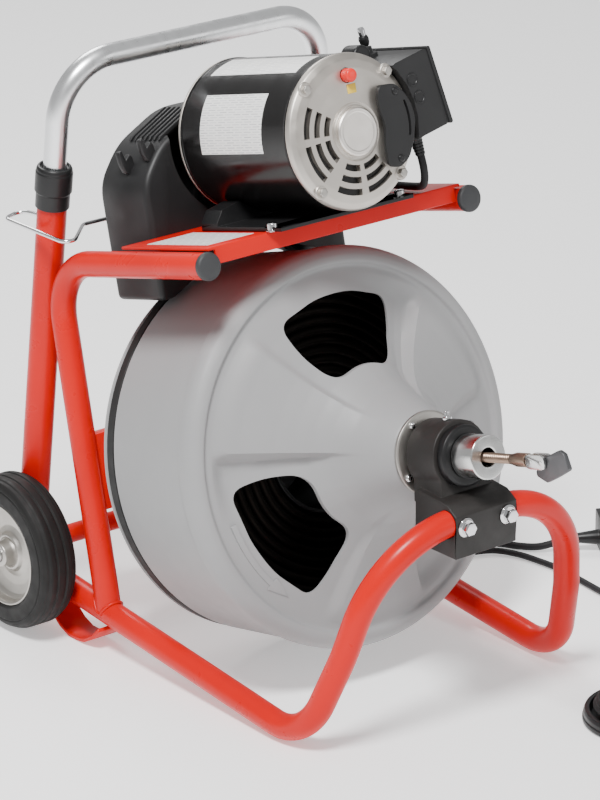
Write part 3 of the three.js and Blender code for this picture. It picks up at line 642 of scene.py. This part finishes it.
def make_gland():
    place = axis_place(POWER_GLAND, GLAND_AIM)
    profile = [(0, 0.3), (8.5, 0.3), (8.5, 7), (6.2, 8)]
    for k in range(5):
        g = 9 + k * 3
        r = 6.0 - k * 0.3
        profile += [(r, g), (r, g + 1.8), (r - 0.7, g + 2), (r - 0.7, g + 2.8)]
    profile += [(4.5, 23.6), (0, 23.6)]
    return turned_node("cord_gland", profile, 40, BLACK, "frame", place, 0.4)


def make_barb():
    place = axis_place(HOSE_GLAND, GLAND_AIM)
    profile = [
        (0, 0.3), (6, 0.3), (6, 5), (4, 5.6), (4, 8), (4.4, 8.4), (3.6, 10), (4.2, 10.4), (3.4, 13.6),
        (0, 13.6),
    ]
    return turned_node("hose_fitting", profile, 40, CHROME, "frame", place, 0.3)


def make_plug():
    pieces = [skin("power_plug", BLACK, "frame", bevel=2.2)]
    for k, forward in enumerate((46, 62)):
        spot = Vector((352 + 0.841 * forward, 45 - 0.541 * forward, 35.8))
        pieces.append(turned_piece(
            f"plug_button_{k + 1}", [(0, 0), (5, 0), (4.6, 1.2), (0, 1.5)], 40, BUTTON if k else CAP, "frame",
            (), axis_place(spot, UPWARD), 0.4,
        ))
    return pieces


def make_pedal():
    place = axis_place((129, -299, 0), UPWARD)
    pot = [
        (0, 0), (58.5, 0), (60, 1.5), (60, 5), (59, 6), (59, 9.5), (57.5, 13), (53.5, 13), (53, 12), (53, 3),
        (0, 3),
    ]
    base_piece = turned_node("pedal_base", pot, 128, BLACK, "frame", place, 0.8)
    spigot = sweep_mesh("spigot", [(178, -275, 6.7), (191, -269.6, 6.7)], 5.4, 24)
    spigot_piece = finish_piece("pedal_spigot", spigot, BLACK, "frame", ())
    dome = [(0, 13.4), (49.6, 13.4), (50, 15)]
    for k in range(4):
        dome += [(50 - k * 2.4, 16 + k * 4.2), (46.8 - k * 2.2, 18.4 + k * 4.2)]
    dome += [(40, 32.5), (34, 38), (24, 42), (12, 44.4), (0, 45)]
    dome_piece = turned_node("pedal_dome", dome, 128, BELT, "treadle", place, 1.6)
    return [base_piece, spigot_piece, dome_piece]


# ---------- frame ----------

def rail_z(y):
    """Height of a base rail's centre line."""
    return 17.8 + (y - 65.2) * RAIL_SLOPE


def upright_y(z):
    """Place of an upright's centre line at that height."""
    return 278.4 + (z - 68.3) * UPRIGHT_LEAN


def socket_y(z):
    """Place of a handle socket's centre line at that height."""
    return 353.3 + (392.9 - z) * SOCKET_LEAN


def on_frame(points):
    """World places of points in the machine's own frame."""
    return [(x, y + SHIFT_Y, z + LIFT_Z) for x, y, z in points]


def tube_piece(name, stations, radius, material, body, sides=40):
    mesh = sweep_mesh(name, stations, radius, sides)
    return finish_piece(f"{name}_look", mesh, material, body, (name,))


def weld_bead(name, stations, radius=1.7):
    """Lumpy bead of weld along a closed path."""
    points = [Vector(p) for p in stations]
    points.append(points[0])

    def lumps(travelled, angle):
        return 0.35 * math.sin(travelled * 1.9) + 0.1 * math.sin(angle * 3)

    mesh = sweep_mesh(name, points, radius, 10, ripple=lumps)
    return finish_piece(name, mesh, RED, "frame", (), sharp=80)


def make_frame():
    half = [(-SIDE_X, 408, rail_z(408)), (-SIDE_X, -26, 8.2), (-136, -58, 97), (-110, -84, 210)]
    other = [(-x, y, z) for x, y, z in reversed(half)]
    base = bent(on_frame(half + other), [55, 120, 105, 105, 120, 55], 4)
    tube_piece("base_tube", base, TUBE_R, RED, "frame", 48)
    for side, name in ((-1, "left"), (1, "right")):
        x = side * SIDE_X
        corners = on_frame([(x, upright_y(38.5), 38.5), (x, 345, 372), (x, 111.7, 430.2)])
        tube_piece(f"{name}_side_tube", bent(corners, [58], 4), TUBE_R, RED, "frame", 48)
        socket = on_frame([(x, socket_y(52), 52), (x, socket_y(428), 428)])
        tube_piece(f"{name}_handle_socket", socket, 14.3, RED, "frame", 48)
        bead = []
        for k in range(28):
            angle = 2 * math.pi * k / 28
            dx = (TUBE_R + 0.4) * math.cos(angle)
            dy = (TUBE_R + 0.4) * math.sin(angle)
            drop = math.sqrt(TUBE_R ** 2 - min(TUBE_R, abs(dx)) ** 2)
            z = 38.3 + drop + 0.1 * dy
            bead.append((x + dx, upright_y(z) + dy, z + 0.8))
        weld_bead(f"{name}_upright_weld", on_frame(bead))
    for name, half_width, radius, material, slot in (
        ("axle_tube", 168, 9.5, RED, "red_paint"),
        ("axle_rod", 216, 6.35, MACHINED, "machined_steel"),
    ):
        ends = [(-half_width, AXLE.y, AXLE.z), (half_width, AXLE.y, AXLE.z)]
        tube_piece(name, ends, radius, material, "frame")
    for name in ("left_rear_foot", "right_rear_foot"):
        skin(name, RED, "frame", bevel=0.9)
    skin("rear_cross_member", RED, "frame", bevel=1.0)
    skin("motor_deck", RED, "frame", bevel=0.8)
    for side, name in ((-1, "left"), (1, "right")):
        place = DRIVE @ Matrix.Translation((side * SIDE_X, -43.9, 206.6))
        cap = [(0, 0), (13.1, 0), (13.1, 4.4), (11.6, 6), (6, 7.2), (0, 7.6)]
        turned_node(f"{name}_tube_cap", cap, 64, CAP, "frame", place, 1.2)
    label = plate_mesh("deck_label", [(-140, 222.6), (-86, 222.6), (-86, 222.9), (-140, 222.9)], -66, 28)
    map_label(label, 0, 1)
    finish_piece("deck_label", label, STRIP, "frame", ())


def map_label(mesh, across, along):
    """Spreads the label picture once over the piece's own box."""
    layer = mesh.uv_layers.new(name="print")
    low = [min(v.co[i] for v in mesh.vertices) for i in range(3)]
    high = [max(v.co[i] for v in mesh.vertices) for i in range(3)]
    for loop in mesh.loops:
        co = mesh.vertices[loop.vertex_index].co
        u = (co[across] - low[across]) / (high[across] - low[across])
        v = (co[along] - low[along]) / (high[along] - low[along])
        layer.data[loop.index].uv = (u, v)


def make_handle():
    top = 570
    corners = on_frame([
        (-SIDE_X, socket_y(112), 112), (-SIDE_X, socket_y(top), top),
        (SIDE_X, socket_y(top), top), (SIDE_X, socket_y(112), 112),
    ])
    tube_piece("handle_tube", bent(corners, [56, 56], 3), 11.1, POLISHED, "handle", 48)
    lean = (0, -SOCKET_LEAN, 1)
    profile = [
        (11.5, 0), (16.4, 0), (16.4, 15), (17.9, 16.5), (17.9, 36), (17.2, 37), (17.2, 39), (16, 41.5),
        (13.8, 42), (13.2, 40), (11.5, 40),
    ]
    for side, name in ((-1, "left"), (1, "right")):
        origin = on_frame([(side * SIDE_X, socket_y(428.3), 428.3)])[0]
        place = axis_place(origin, lean)
        turned_node(f"{name}_socket_collar", profile, 72, BLACK, "frame", place, 0.7)
    wire = on_frame([
        (-SIDE_X, 369.6, 414), (-SIDE_X, 400, 411), (-180, 392, 410), (-176, 290, 408), (-134, 330, 410),
        (134, 330, 410), (176, 290, 408), (180, 392, 410), (SIDE_X, 400, 411), (SIDE_X, 369.6, 414),
    ])
    stations = bent(wire, [9, 9, 9, 12, 12, 9, 9, 9], 9)
    tube_piece("lock_wire", stations, 2, CHROME, "lock", 16)


def make_wheels():
    tyre = [
        (51.3, 0), (66, 0), (71, 1.6), (73.6, 4), (74.4, 7), (75.4, 8), (76, 10), (76, 14.4), (74.8, 15),
        (74.8, 16.6), (76, 17.2), (76, 24.8), (74.8, 25.4), (74.8, 27), (76, 27.6), (76, 32), (75.4, 34),
        (74.4, 35), (73.6, 38), (71, 40.4), (68, 41.4), (66.6, 40.9), (66, 42), (54, 42), (51.3, 40.5),
    ]
    disc = [
        (6.7, -2), (12, -2), (12, 12), (30, 18), (46, 9), (51, 1),
        (51, 40.8), (49.4, 41), (48, 39.4), (46.6, 32), (43, 28.8), (34, 26), (26, 25.2), (20, 27.4),
        (17.4, 31.2), (15.4, 31.6), (14, 29.4), (12.6, 33), (12, 42), (10.6, 43), (6.7, 43),
    ]
    for side, name in ((1, "right"), (-1, "left")):
        place = Matrix.Translation(AXLE + Vector((side * 171, 0, 0))) @ axis_place((0, 0, 0), (side, 0, 0))
        wheel = f"{name}_wheel"
        turned_node(f"{name}_tyre", tyre, 128, TYRE, wheel, place, 0.7)
        turned_node(f"{wheel}_disc", disc, 128, ZINC, wheel, place, 1.0)


# ---------- drum ----------

def smoothstep(x, low, high):
    t = min(1.0, max(0.0, (x - low) / (high - low)))
    return t * t * (3 - 2 * t)


# The drum face's relief over a third of a turn, as angle and height.
RELIEF = [
    (0, 0), (36, 0), (40, 6.5), (42.5, 6.5), (60, 4), (79, 1.5), (82, -10), (87, -11), (108, -2), (120, 0),
]


def face_sculpt(degrees, radius):
    """Forward swell and hollow of the drum face, three times round."""
    phase = (degrees - 90) % 120
    height = 0.0
    for (low, a), (high, b) in zip(RELIEF, RELIEF[1:]):
        if low <= phase <= high:
            height = a + (b - a) * (phase - low) / (high - low)
    return height * smoothstep(radius, 46, 80) * (1 - smoothstep(radius, 148, 167))


# A window's corners as radius and angle from its centre line.
WINDOW_CORNERS = [
    (148, -27), (148, -9), (148, 0), (148, 9), (148, 27), (116, 29.5), (81, 27), (84, 0), (81, -27),
    (116, -29.5),
]


def window_outline(centre):
    corners = []
    for radius, offset in WINDOW_CORNERS:
        angle = math.radians(centre + offset)
        corners.append((radius * math.cos(angle), radius * math.sin(angle)))
    return softened(corners, 17, closed=True, steps=8)


def refined(profile, longest):
    """Adds points so that no straight stretch is longer than asked."""
    result = []
    for (r0, g0), (r1, g1) in zip(profile, profile[1:] + profile[:1]):
        pieces = max(1, math.ceil(math.hypot(r1 - r0, g1 - g0) / longest))
        for k in range(pieces):
            t = k / pieces
            result.append((r0 + (r1 - r0) * t, g0 + (g1 - g0) * t))
    return result


def make_drum_front():
    front = [
        (190, -6), (190, 3), (187, 9), (181, 13.5), (175, 14.5), (171.5, 10.5), (166, 11.6), (140, 20),
        (110, 33), (95, 41.5), (80, 52), (68, 64), (57, 80), (48, 98), (38, 121), (22, 122),
        (22, 118.5), (35, 117.5), (45, 96), (54, 78), (65, 61.5), (77.5, 49),
        (108.5, 30), (165, 8.4), (172, 7.2), (180, 9), (187.3, 2), (187.3, -6),
    ]
    profile = refined(softened(front, 3.0, closed=True), 6)
    blank = turned_mesh("drum_front", profile, 288, change=face_sculpt)
    shade(blank, 40)
    cutters = [plate_mesh("opening", window_outline(a), -5, 80) for a in (90, 210, 330)]
    shell = carved(blank, cutters)
    finish_piece("drum_front_look", shell, GREY, "drum", ("drum_front_shell",), sharp=40)


def make_drum_rear():
    rear = [
        (0, -198), (10, -198), (10, -144), (34, -144), (36, -141), (150, -141), (156, -138.5), (170, -138.5),
        (177, -141), (181.5, -136), (174.5, -132.5), (174.5, -121.5), (182, -119.5), (187, -8), (187, -2),
        (184, -2), (179, -117), (171.5, -119), (171.5, -137.8), (0, -137.8),
    ]
    turned_piece(
        "drum_rear_look", rear, 224, GREY, "drum", ("drum_rear_shell",), soften=1.6,
    )
    pan = [(60, -137.4), (168, -137.4), (168, -8), (164, -8), (164, -133), (64, -133), (64, -30), (60, -30)]
    turned_node("inner_drum", pan, 96, BLACK, "drum", soften=1)


def make_stored_cable():
    coil = [(66, -130), (162, -130), (162, -36)]
    for turn in range(10):
        r = 157 - turn * 9.5
        for k in range(7):
            angle = math.pi * k / 6
            coil.append((r + 4.6 * math.cos(angle), -31.6 + 4.6 * math.sin(angle)))
    coil.append((66, -36))
    # The stored turns take the near-black cable colour, painted shade of the drum's inside.
    turned_node("stored_cable", coil, 160, SHADED_CABLE, "drum")


def make_hub():
    flange = [
        (DRUM_NOSE_R, 122.4), (39.5, 122.4), (39.5, 125.4), (37.5, 126.2), (28, 127), (24, 129.4),
        (DRUM_NOSE_R, 129.4),
    ]
    turned_piece("hub_flange", flange, 96, ZINC, "drum", (), soften=0.5)
    nose = [
        (8.7, 112), (19.7, 112), (19.7, 179.6), (20.6, 180.4), (20.6, 208.2), (DRUM_NOSE_R, 209), (9.6, 209),
        (8.7, 208),
    ]
    turned_node("nose_shaft", nose, 96, MACHINED, "drum", soften=0.5)
    for k in range(4):
        angle = math.radians(29 + 90 * k)
        place = DRIVE @ Matrix.Translation((34 * math.cos(angle), -126.2, 34 * math.sin(angle)))
        screw = [(0, 0), (3.4, 0), (3.4, 1.4), (2.4, 2.8), (0, 3.2)]
        turned_piece(f"hub_screw_{k + 1}", screw, 24, CHROME, "drum", (), place, 0.3)


def make_arrow():
    """Raised arrow that shows which way the drum turns."""
    stations = [(194 + 2 * k, 154.5, 159.5) for k in range(14)]
    stations += [(220.1, 150.5, 163.5), (228.5, 156.8, 157.2)]
    vertices = []
    for degrees, inner, outer in stations:
        for r in (inner, outer):
            surface = 11.6 + (166 - r) * 0.323
            for lift in (-2.5, 0.9):
                angle = math.radians(degrees)
                vertices.append((r * math.cos(angle), -(surface + lift), r * math.sin(angle)))
    mesh = bevelled(mesh_from("arrow", vertices, bar_faces(len(stations)), DRIVE), 0.3)
    finish_piece("drum_arrow", mesh, GREY, "drum", ())


def make_cable():
    pitch = 2.6

    def turns(travelled, angle):
        return 0.45 * math.cos(2 * math.pi * travelled / pitch - angle)

    count = 900
    stations = [(0, -(150 + 91 * k / count), 0) for k in range(count + 1)]
    mesh = sweep_mesh("lead", stations, 4.3, 20, DRIVE, ripple=turns)
    finish_piece("drain_cable_look", mesh, BRONZE, "cable", ("drain_cable",), sharp=80)
    hidden = sweep_mesh("lead_inside", [(0, -2, 0), (0, -150, 0)], 4.3, 20, DRIVE)
    finish_piece("drain_cable_inside", hidden, BRONZE, "cable", ())
    skin("cable_coupling", BRONZE, "cable", bevel=0.3, angle=50, sharp=40)
    skin("knuckle_link", MACHINED, "knuckle", bevel=0.5, angle=40)
    skin("drop_head", HEAD, "head", bevel=0.9, angle=40)


# ---------- bearings ----------

def make_bearings():
    skin("front_bearing_bracket", CASTING, "frame", bevel=2.0, angle=30)
    race = [(20, 133), (25.7, 133), (25.7, 170.3), (28.5, 170.3), (28.5, 177.5), (26, 179), (20, 179)]
    turned_node("front_bearing", race, 96, BLACK, "frame", soften=0.6)
    ring = [(10.4, -199.7), (38, -199.7), (38, -196), (26, -194), (24, -184), (10.4, -184)]
    turned_node("rear_bearing", ring, 72, CASTING, "frame", soften=0.8)
    for x, name in ((-25, "left"), (25, "right")):
        place = Matrix.Translation((x, -97.3 + SHIFT_Y, 207.5 + LIFT_Z))
        washer = [(0, 0), (9.3, 0), (9.3, 1.2), (7.4, 2.8), (0, 2.8)]
        turned_node(f"{name}_bracket_bolt", washer, 64, CHROME, "frame", place, 0.4)
        head = bevelled(plate_mesh("hex", circle(6.6, 6), 2, 8.4, place), 0.7)
        finish_piece(f"{name}_bracket_bolt_head", head, CHROME, "frame", ())
    place = DRIVE @ Matrix.Translation((0, -158, 33.2)) @ axis_place((0, 0, 0), UPWARD)
    nipple = [(0, 0), (4.6, 0), (4.6, 2), (3.2, 2.6), (2.2, 5), (3, 6), (2.6, 7.6), (0, 8)]
    turned_piece("grease_fitting", nipple, 32, CHROME, "frame", (), place, 0.3)


# ---------- motor ----------

def arc_slot(radius, start, stop, width):
    outer = arc_points(0, MOTOR_V, radius + width / 2, start, stop, 12)
    inner = arc_points(0, MOTOR_V, radius - width / 2, start, stop, 12)
    return outer + inner[::-1]


def signed(distance):
    """Distance as a part of a name, such as p48 or m48."""
    return f"{distance:+.0f}".replace("+", "p").replace("-", "m")


def make_motor():
    make_motor_shell()
    make_bell_bolts()
    make_motor_rear()
    make_reset()
    make_cover_plate()
    make_cradle()
    make_switch_box()
    curved_label("rating_label", 140, 185, -51, 43, PLATE)
    curved_label("top_label", 96, 121, -66, 64, STRIP)
    make_cradle_bolts()


def make_motor_shell():
    axis = DRIVE @ Matrix.Translation((0, 0, MOTOR_V))
    shell = [(0, -82), (72.4, -82), (72.4, -80), (71.8, -79), (71.8, 76), (72.4, 77), (72.4, 78.7), (0, 78.7)]
    turned_node("motor_shell", shell, 160, ENAMEL, "frame", axis, 0.4)
    dome = [
        (0, 79), (72.5, 79), (72.5, 81.5), (71, 84.6), (66, 87.4), (58, 89.2), (44, 90.4), (27, 91),
        (26, 90.2), (24.2, 90.2), (24, 91.2), (0, 91.2),
    ]
    blank = turned_mesh("bell", dome, 160, axis, soften=1.0)
    shade(blank, 40)
    cutters = [plate_mesh("well", circle(7.2, 32, 0, BUTTON_V), 85.5, 100)]
    for radius in (33.5, 44.5, 55.5):
        for start, stop in ((147, 177), (184, 222), (239, 268), (276, 308)):
            cutters.append(plate_mesh("vent", arc_slot(radius, start, stop, 6), 84.5, 100))
    bell = carved(blank, cutters)
    finish_piece("motor_bell_look", bell, BELL, "frame", ("motor_front_bell",), sharp=40)
    # Black disc under the vent slots: painted shade of the motor's hollow inside, seen through the vents.
    floor = [(0, 84.6), (60, 84.6), (60, 84.9), (0, 84.9)]
    turned_piece("vent_dark", floor, 48, BLACK, "frame", (), axis)
    dust = [(0, 91), (22.6, 91), (22.6, 94), (21.2, 95.2), (18.5, 95.2), (17.6, 94.7), (0, 94.7)]
    turned_piece("dust_cap_look", dust, 96, DUST, "frame", (), axis, 0.4)


def make_bell_bolts():
    for x in (-BELL_BOLT, BELL_BOLT):
        for u in (-BELL_BOLT, BELL_BOLT):
            corner = f"{signed(x)}_{signed(u)}"
            place = DRIVE @ Matrix.Translation((x, -86.2, MOTOR_V + u))
            boss = [(0, 0), (7.4, 0), (6.4, 2.4), (0, 2.4)]
            turned_piece(f"bell_boss_{corner}", boss, 40, BELL, "frame", (), place, 0.8)
            head = bevelled(plate_mesh("hex", circle(4.4, 6), 2, 6.2, place), 0.5)
            finish_piece(f"bell_bolt_{corner}", head, ZINC, "frame", ())


def make_motor_rear():
    rear = [(0, -82.3), (72.5, -82.3), (72.5, -84.6), (70, -87), (64, -88.8), (30, -91), (0, -91)]
    place = DRIVE @ Matrix.Translation((0, 0, MOTOR_V))
    turned_node("motor_rear_bell", rear, 128, BELL, "frame", place, 0.8)


def make_reset():
    button = [(0, 89), (6.4, 89), (6.4, 96.6), (5.6, 98.4), (3.4, 99.2), (0, 99.4)]
    place = DRIVE @ Matrix.Translation((0, 0, BUTTON_V))
    turned_node("reset_button", button, 48, BUTTON, "reset", place, 0.8)
    tag = bevelled(plate_mesh("tag", [(-2, 335), (8, 335), (8, 343.6), (-2, 343.6)], 90.2, 91.2), 0.3)
    finish_piece("reset_tag", tag, YELLOW, "frame", ())


def on_box(across, along):
    """Place on the tilted switch box's face, measured from the middle of its foot."""
    x = BOX_FOOT.x + across * math.cos(BOX_LEAN) - along * math.sin(BOX_LEAN)
    u = BOX_FOOT.y + across * math.sin(BOX_LEAN) + along * math.cos(BOX_LEAN)
    return x, u


def make_switch_box():
    skin("switch_box", GUARD, "frame", bevel=1.0)
    skin("switch_lever", CHROME, "lever", bevel=0.3, angle=60, sharp=50)
    cover = [(0, 56), (10.5, 56), (10.5, 74), (9.6, 76), (7, 76.6), (0, 76.6)]
    place = DRIVE @ Matrix.Translation((33, 0, 364))
    turned_piece("motor_round_cover", cover, 64, BLACK, "frame", (), place, 1.0)
    boss = [(0, 0), (6.4, 0), (6.4, 0.9), (5, 1.1), (4.4, 0.4), (0, 0.4)]
    for k, (across, along) in enumerate(((-6, 16), (-4, -2))):
        x, u = on_box(across, along)
        place = DRIVE @ Matrix.Translation((x, -92.8, u))
        turned_piece(f"switch_box_boss_{k + 1}", boss, 48, BLACK, "frame", (), place, 0.3)
    up_box = (-math.sin(BOX_LEAN), 0, math.cos(BOX_LEAN))
    x, u = on_box(0, 48.5)
    place = DRIVE @ Matrix.Translation((x, -33, u)) @ axis_place((0, 0, 0), up_box)
    tip = [(0, 0), (3.4, 0), (4.6, 3), (5, 7), (4.2, 9.8), (2, 10.8), (0, 11)]
    turned_piece("switch_lever_tip", tip, 40, BLACK, "lever", (), place, 0.6)


def make_cradle_bolts():
    bolt = [(0, 0), (7, 0), (7, 1.4), (5, 1.6), (5, 7), (4.2, 8), (0, 8)]
    for x, g in ((-76, 44), (-70, -50), (76, 44), (70, -50)):
        place = DRIVE @ Matrix.Translation((x, -g, DECK_TOP)) @ axis_place((0, 0, 0), UPWARD)
        name = f"cradle_bolt_{'left' if x < 0 else 'right'}_{'front' if g > 0 else 'rear'}"
        turned_piece(name, bolt, 12, CHROME, "frame", (), place, 0.3)


def make_cover_plate():
    outline = [
        (27, 262), (40, 259), (52, 266), (60, 281), (65.5, 300), (63, 315), (57, 326), (47, 336), (29, 337),
        (25, 326), (26.5, 313), (30, 300), (26.5, 284),
    ]
    plate = plate_mesh("cover", softened(outline, 5, closed=True, steps=4), 94.3, 98.5)
    slot = arc_points(0, MOTOR_V, 59.4, -14, 19, 12) + arc_points(0, MOTOR_V, 57, 19, -14, 12)
    body = bevelled(carved(plate, [plate_mesh("slot", slot, 90, 102)]), 0.7)
    finish_piece("motor_cover_plate_look", body, GUARD, "frame", ("motor_cover_plate",))
    for x, u, name in ((46, 329, "top"), (42, 267, "foot")):
        place = DRIVE @ Matrix.Translation((x, -98.2, u))
        screw = [(0, 0), (3.6, 0), (3.4, 1.2), (2, 2), (0, 2)]
        turned_piece(f"cover_screw_{name}", screw, 24, BLACK, "frame", (), place, 0.4)
    for k, u in enumerate((266, 332)):
        place = DRIVE @ Matrix.Translation((35, -87, u))
        post = [(0, 0), (4.5, 0), (4, 7.6), (0, 7.6)]
        turned_piece(f"cover_post_{k + 1}", post, 24, BLACK, "frame", (), place, 0.4)


def make_cradle():
    """Two saddles on a base plate, under the motor."""
    base = plate_mesh("base", [(-79, DECK_TOP), (79, DECK_TOP), (79, 227), (-79, 227)], -61, 61)
    saddles = []
    for back, front in ((-61, -36), (36, 61)):
        arch = [(-79, 226), (79, 226), (79, 230), (71, 241)]
        arch += arc_points(0, MOTOR_V, MOTOR_R + 0.9, 312, 228, 24)
        arch += [(-71, 241), (-79, 230)]
        saddles.append(plate_mesh("saddle", arch, back, front))
    body = bevelled(carved(base, saddles, "UNION"), 1.0)
    finish_piece("motor_cradle_look", body, BLACK, "frame", ("motor_cradle",))


def curved_label(name, start, stop, back, front, material):
    """Thin sticker wrapped on the motor shell between two angles."""
    steps = 20
    vertices = []
    for k in range(steps + 1):
        angle = math.radians(start + (stop - start) * k / steps)
        for r in (MOTOR_R, MOTOR_R + 0.25):
            for g in (back, front):
                vertices.append((r * math.cos(angle), -g, MOTOR_V + r * math.sin(angle)))
    mesh = mesh_from(name, vertices, bar_faces(steps + 1), DRIVE)
    layer = mesh.uv_layers.new(name="print")
    for loop in mesh.loops:
        index = loop.vertex_index
        layer.data[loop.index].uv = (index % 2, index // 4 / steps)
    finish_piece(name, mesh, material, "frame", ())


# ---------- belt drive ----------

def belt_outline(offset):
    """Belt's path round the drum and pulley, with its back on the two idlers."""
    drum, pulley, idler = 178.1, 21.3, 17.3
    rise = MOTOR_V - IDLER_V
    reach = math.acos((drum + idler) / math.hypot(IDLER_X, IDLER_V))
    leave = math.degrees(math.atan2(IDLER_V, IDLER_X) - reach)
    reach = math.acos((idler + pulley) / math.hypot(rise, IDLER_X))
    turn_off = math.degrees(math.atan2(rise, -IDLER_X) + reach)
    right = arc_points(IDLER_X, IDLER_V, idler - offset, leave + 180, turn_off, 10)
    top = arc_points(0, MOTOR_V, pulley + offset, turn_off - 180, 360 - turn_off, 24)
    left = arc_points(-IDLER_X, IDLER_V, idler - offset, 180 - turn_off, -leave, 10)
    lower = arc_points(0, 0, drum + offset, 180 - leave, 360 + leave, 140)
    return right + top + left + lower


def make_belt_drive():
    rings = [(2.9, -4.4), (2.9, 4.4), (2.2, 5), (-2.2, 5), (-2.9, 4.4), (-2.9, -4.4), (-2.2, -5), (2.2, -5)]
    vertices = []
    count = len(belt_outline(0))
    for offset, across in rings:
        vertices += [(x, BELT_BACK - across, v) for x, v in belt_outline(offset)]
    faces = []
    for i in range(len(rings)):
        j = (i + 1) % len(rings)
        for k in range(count):
            n = (k + 1) % count
            faces.append((i * count + k, i * count + n, j * count + n, j * count + k))
    mesh = mesh_from("drive_belt", vertices, faces, DRIVE)
    finish_piece("drive_belt_look", mesh, BELT, "frame", ("drive_belt",))
    place = DRIVE @ Matrix.Translation((0, 0, MOTOR_V))
    pulley = [
        (0, -141), (6, -141), (6, -134.5), (22, -134.5), (18, -132.2), (18, -121.8), (22, -119.5), (6, -118),
        (6, -91.4), (0, -91.4),
    ]
    turned_node("motor_pulley", pulley, 72, MACHINED, "pulley", place, 0.4)
    idler = [(4.4, -134), (14, -134), (14, -120), (4.4, -120)]
    for x, name in ((-IDLER_X, "left"), (IDLER_X, "right")):
        place = DRIVE @ Matrix.Translation((x, 0, IDLER_V))
        turned_node(f"{name}_idler", idler, 48, GUARD, f"{name}_idler_wheel", place, 0.8)
    skin("idler_bracket", CASTING, "frame", bevel=0.8)
    make_guard()


# A guard hook's outline, from its foot.
HOOK = [(4, -4), (-3, 0), (-6, 8), (-8, 20), (-4, 22), (-1, 12), (4, 17), (7, 14), (9, 2)]


def make_guard():
    outline = [(-113, 162), (-113, 275), (-86, 308), (-34, 333), (34, 333), (86, 308), (113, 275), (113, 162)]
    wall = 4
    inner = [
        (-109, 140), (-109, 273.6), (-83.4, 304.8), (-33, 329), (33, 329), (83.4, 304.8), (109, 273.6),
        (109, 140),
    ]
    outer = plate_mesh("outer", softened(outline, 16, steps=5), -169, -94)
    outer = bevelled(outer, 6, segments=4, angle=50)
    cutters = [
        plate_mesh("inner", inner, -169 + wall, -94 - wall),
        plate_mesh("drum_way", circle(190.6, 160), -200, -60),
        plate_mesh("motor_way", circle(76, 96, 0, MOTOR_V), -104, -60),
        plate_mesh("pulley_way", circle(16, 48, 0, MOTOR_V), -110, -60),
    ]
    guard = carved(outer, cutters)
    finish_piece("belt_guard_look", guard, GUARD, "frame", ("belt_guard",), sharp=40)
    for k in range(7):
        back = -150 + k * 7.6
        rib = [(-36, 331), (-80, 309.5), (-83, 310), (-80, 313.5), (-38, 334), (-35, 333.6)]
        piece = bevelled(plate_mesh("rib", rib, back, back + 3), 0.6)
        finish_piece(f"guard_rib_{k + 1}", piece, GUARD, "frame", ())
    for k, (x, u, g) in enumerate(((-107, 284, -130), (-98, 294, -106))):
        hook = [(x + dx, u + du) for dx, du in HOOK]
        piece = bevelled(plate_mesh("hook", hook, g, g + 7), 1.2)
        finish_piece(f"guard_hook_{k + 1}", piece, GUARD, "frame", ())


def main():
    make_camera()
    make_stage()
    gland = make_gland()
    barb = make_barb()
    make_cords(make_plug(), make_pedal())
    make_frame()
    make_handle()
    make_wheels()
    make_drum_front()
    make_arrow()
    make_drum_rear()
    make_stored_cable()
    make_hub()
    make_cable()
    make_bearings()
    make_motor()
    make_belt_drive()


main()
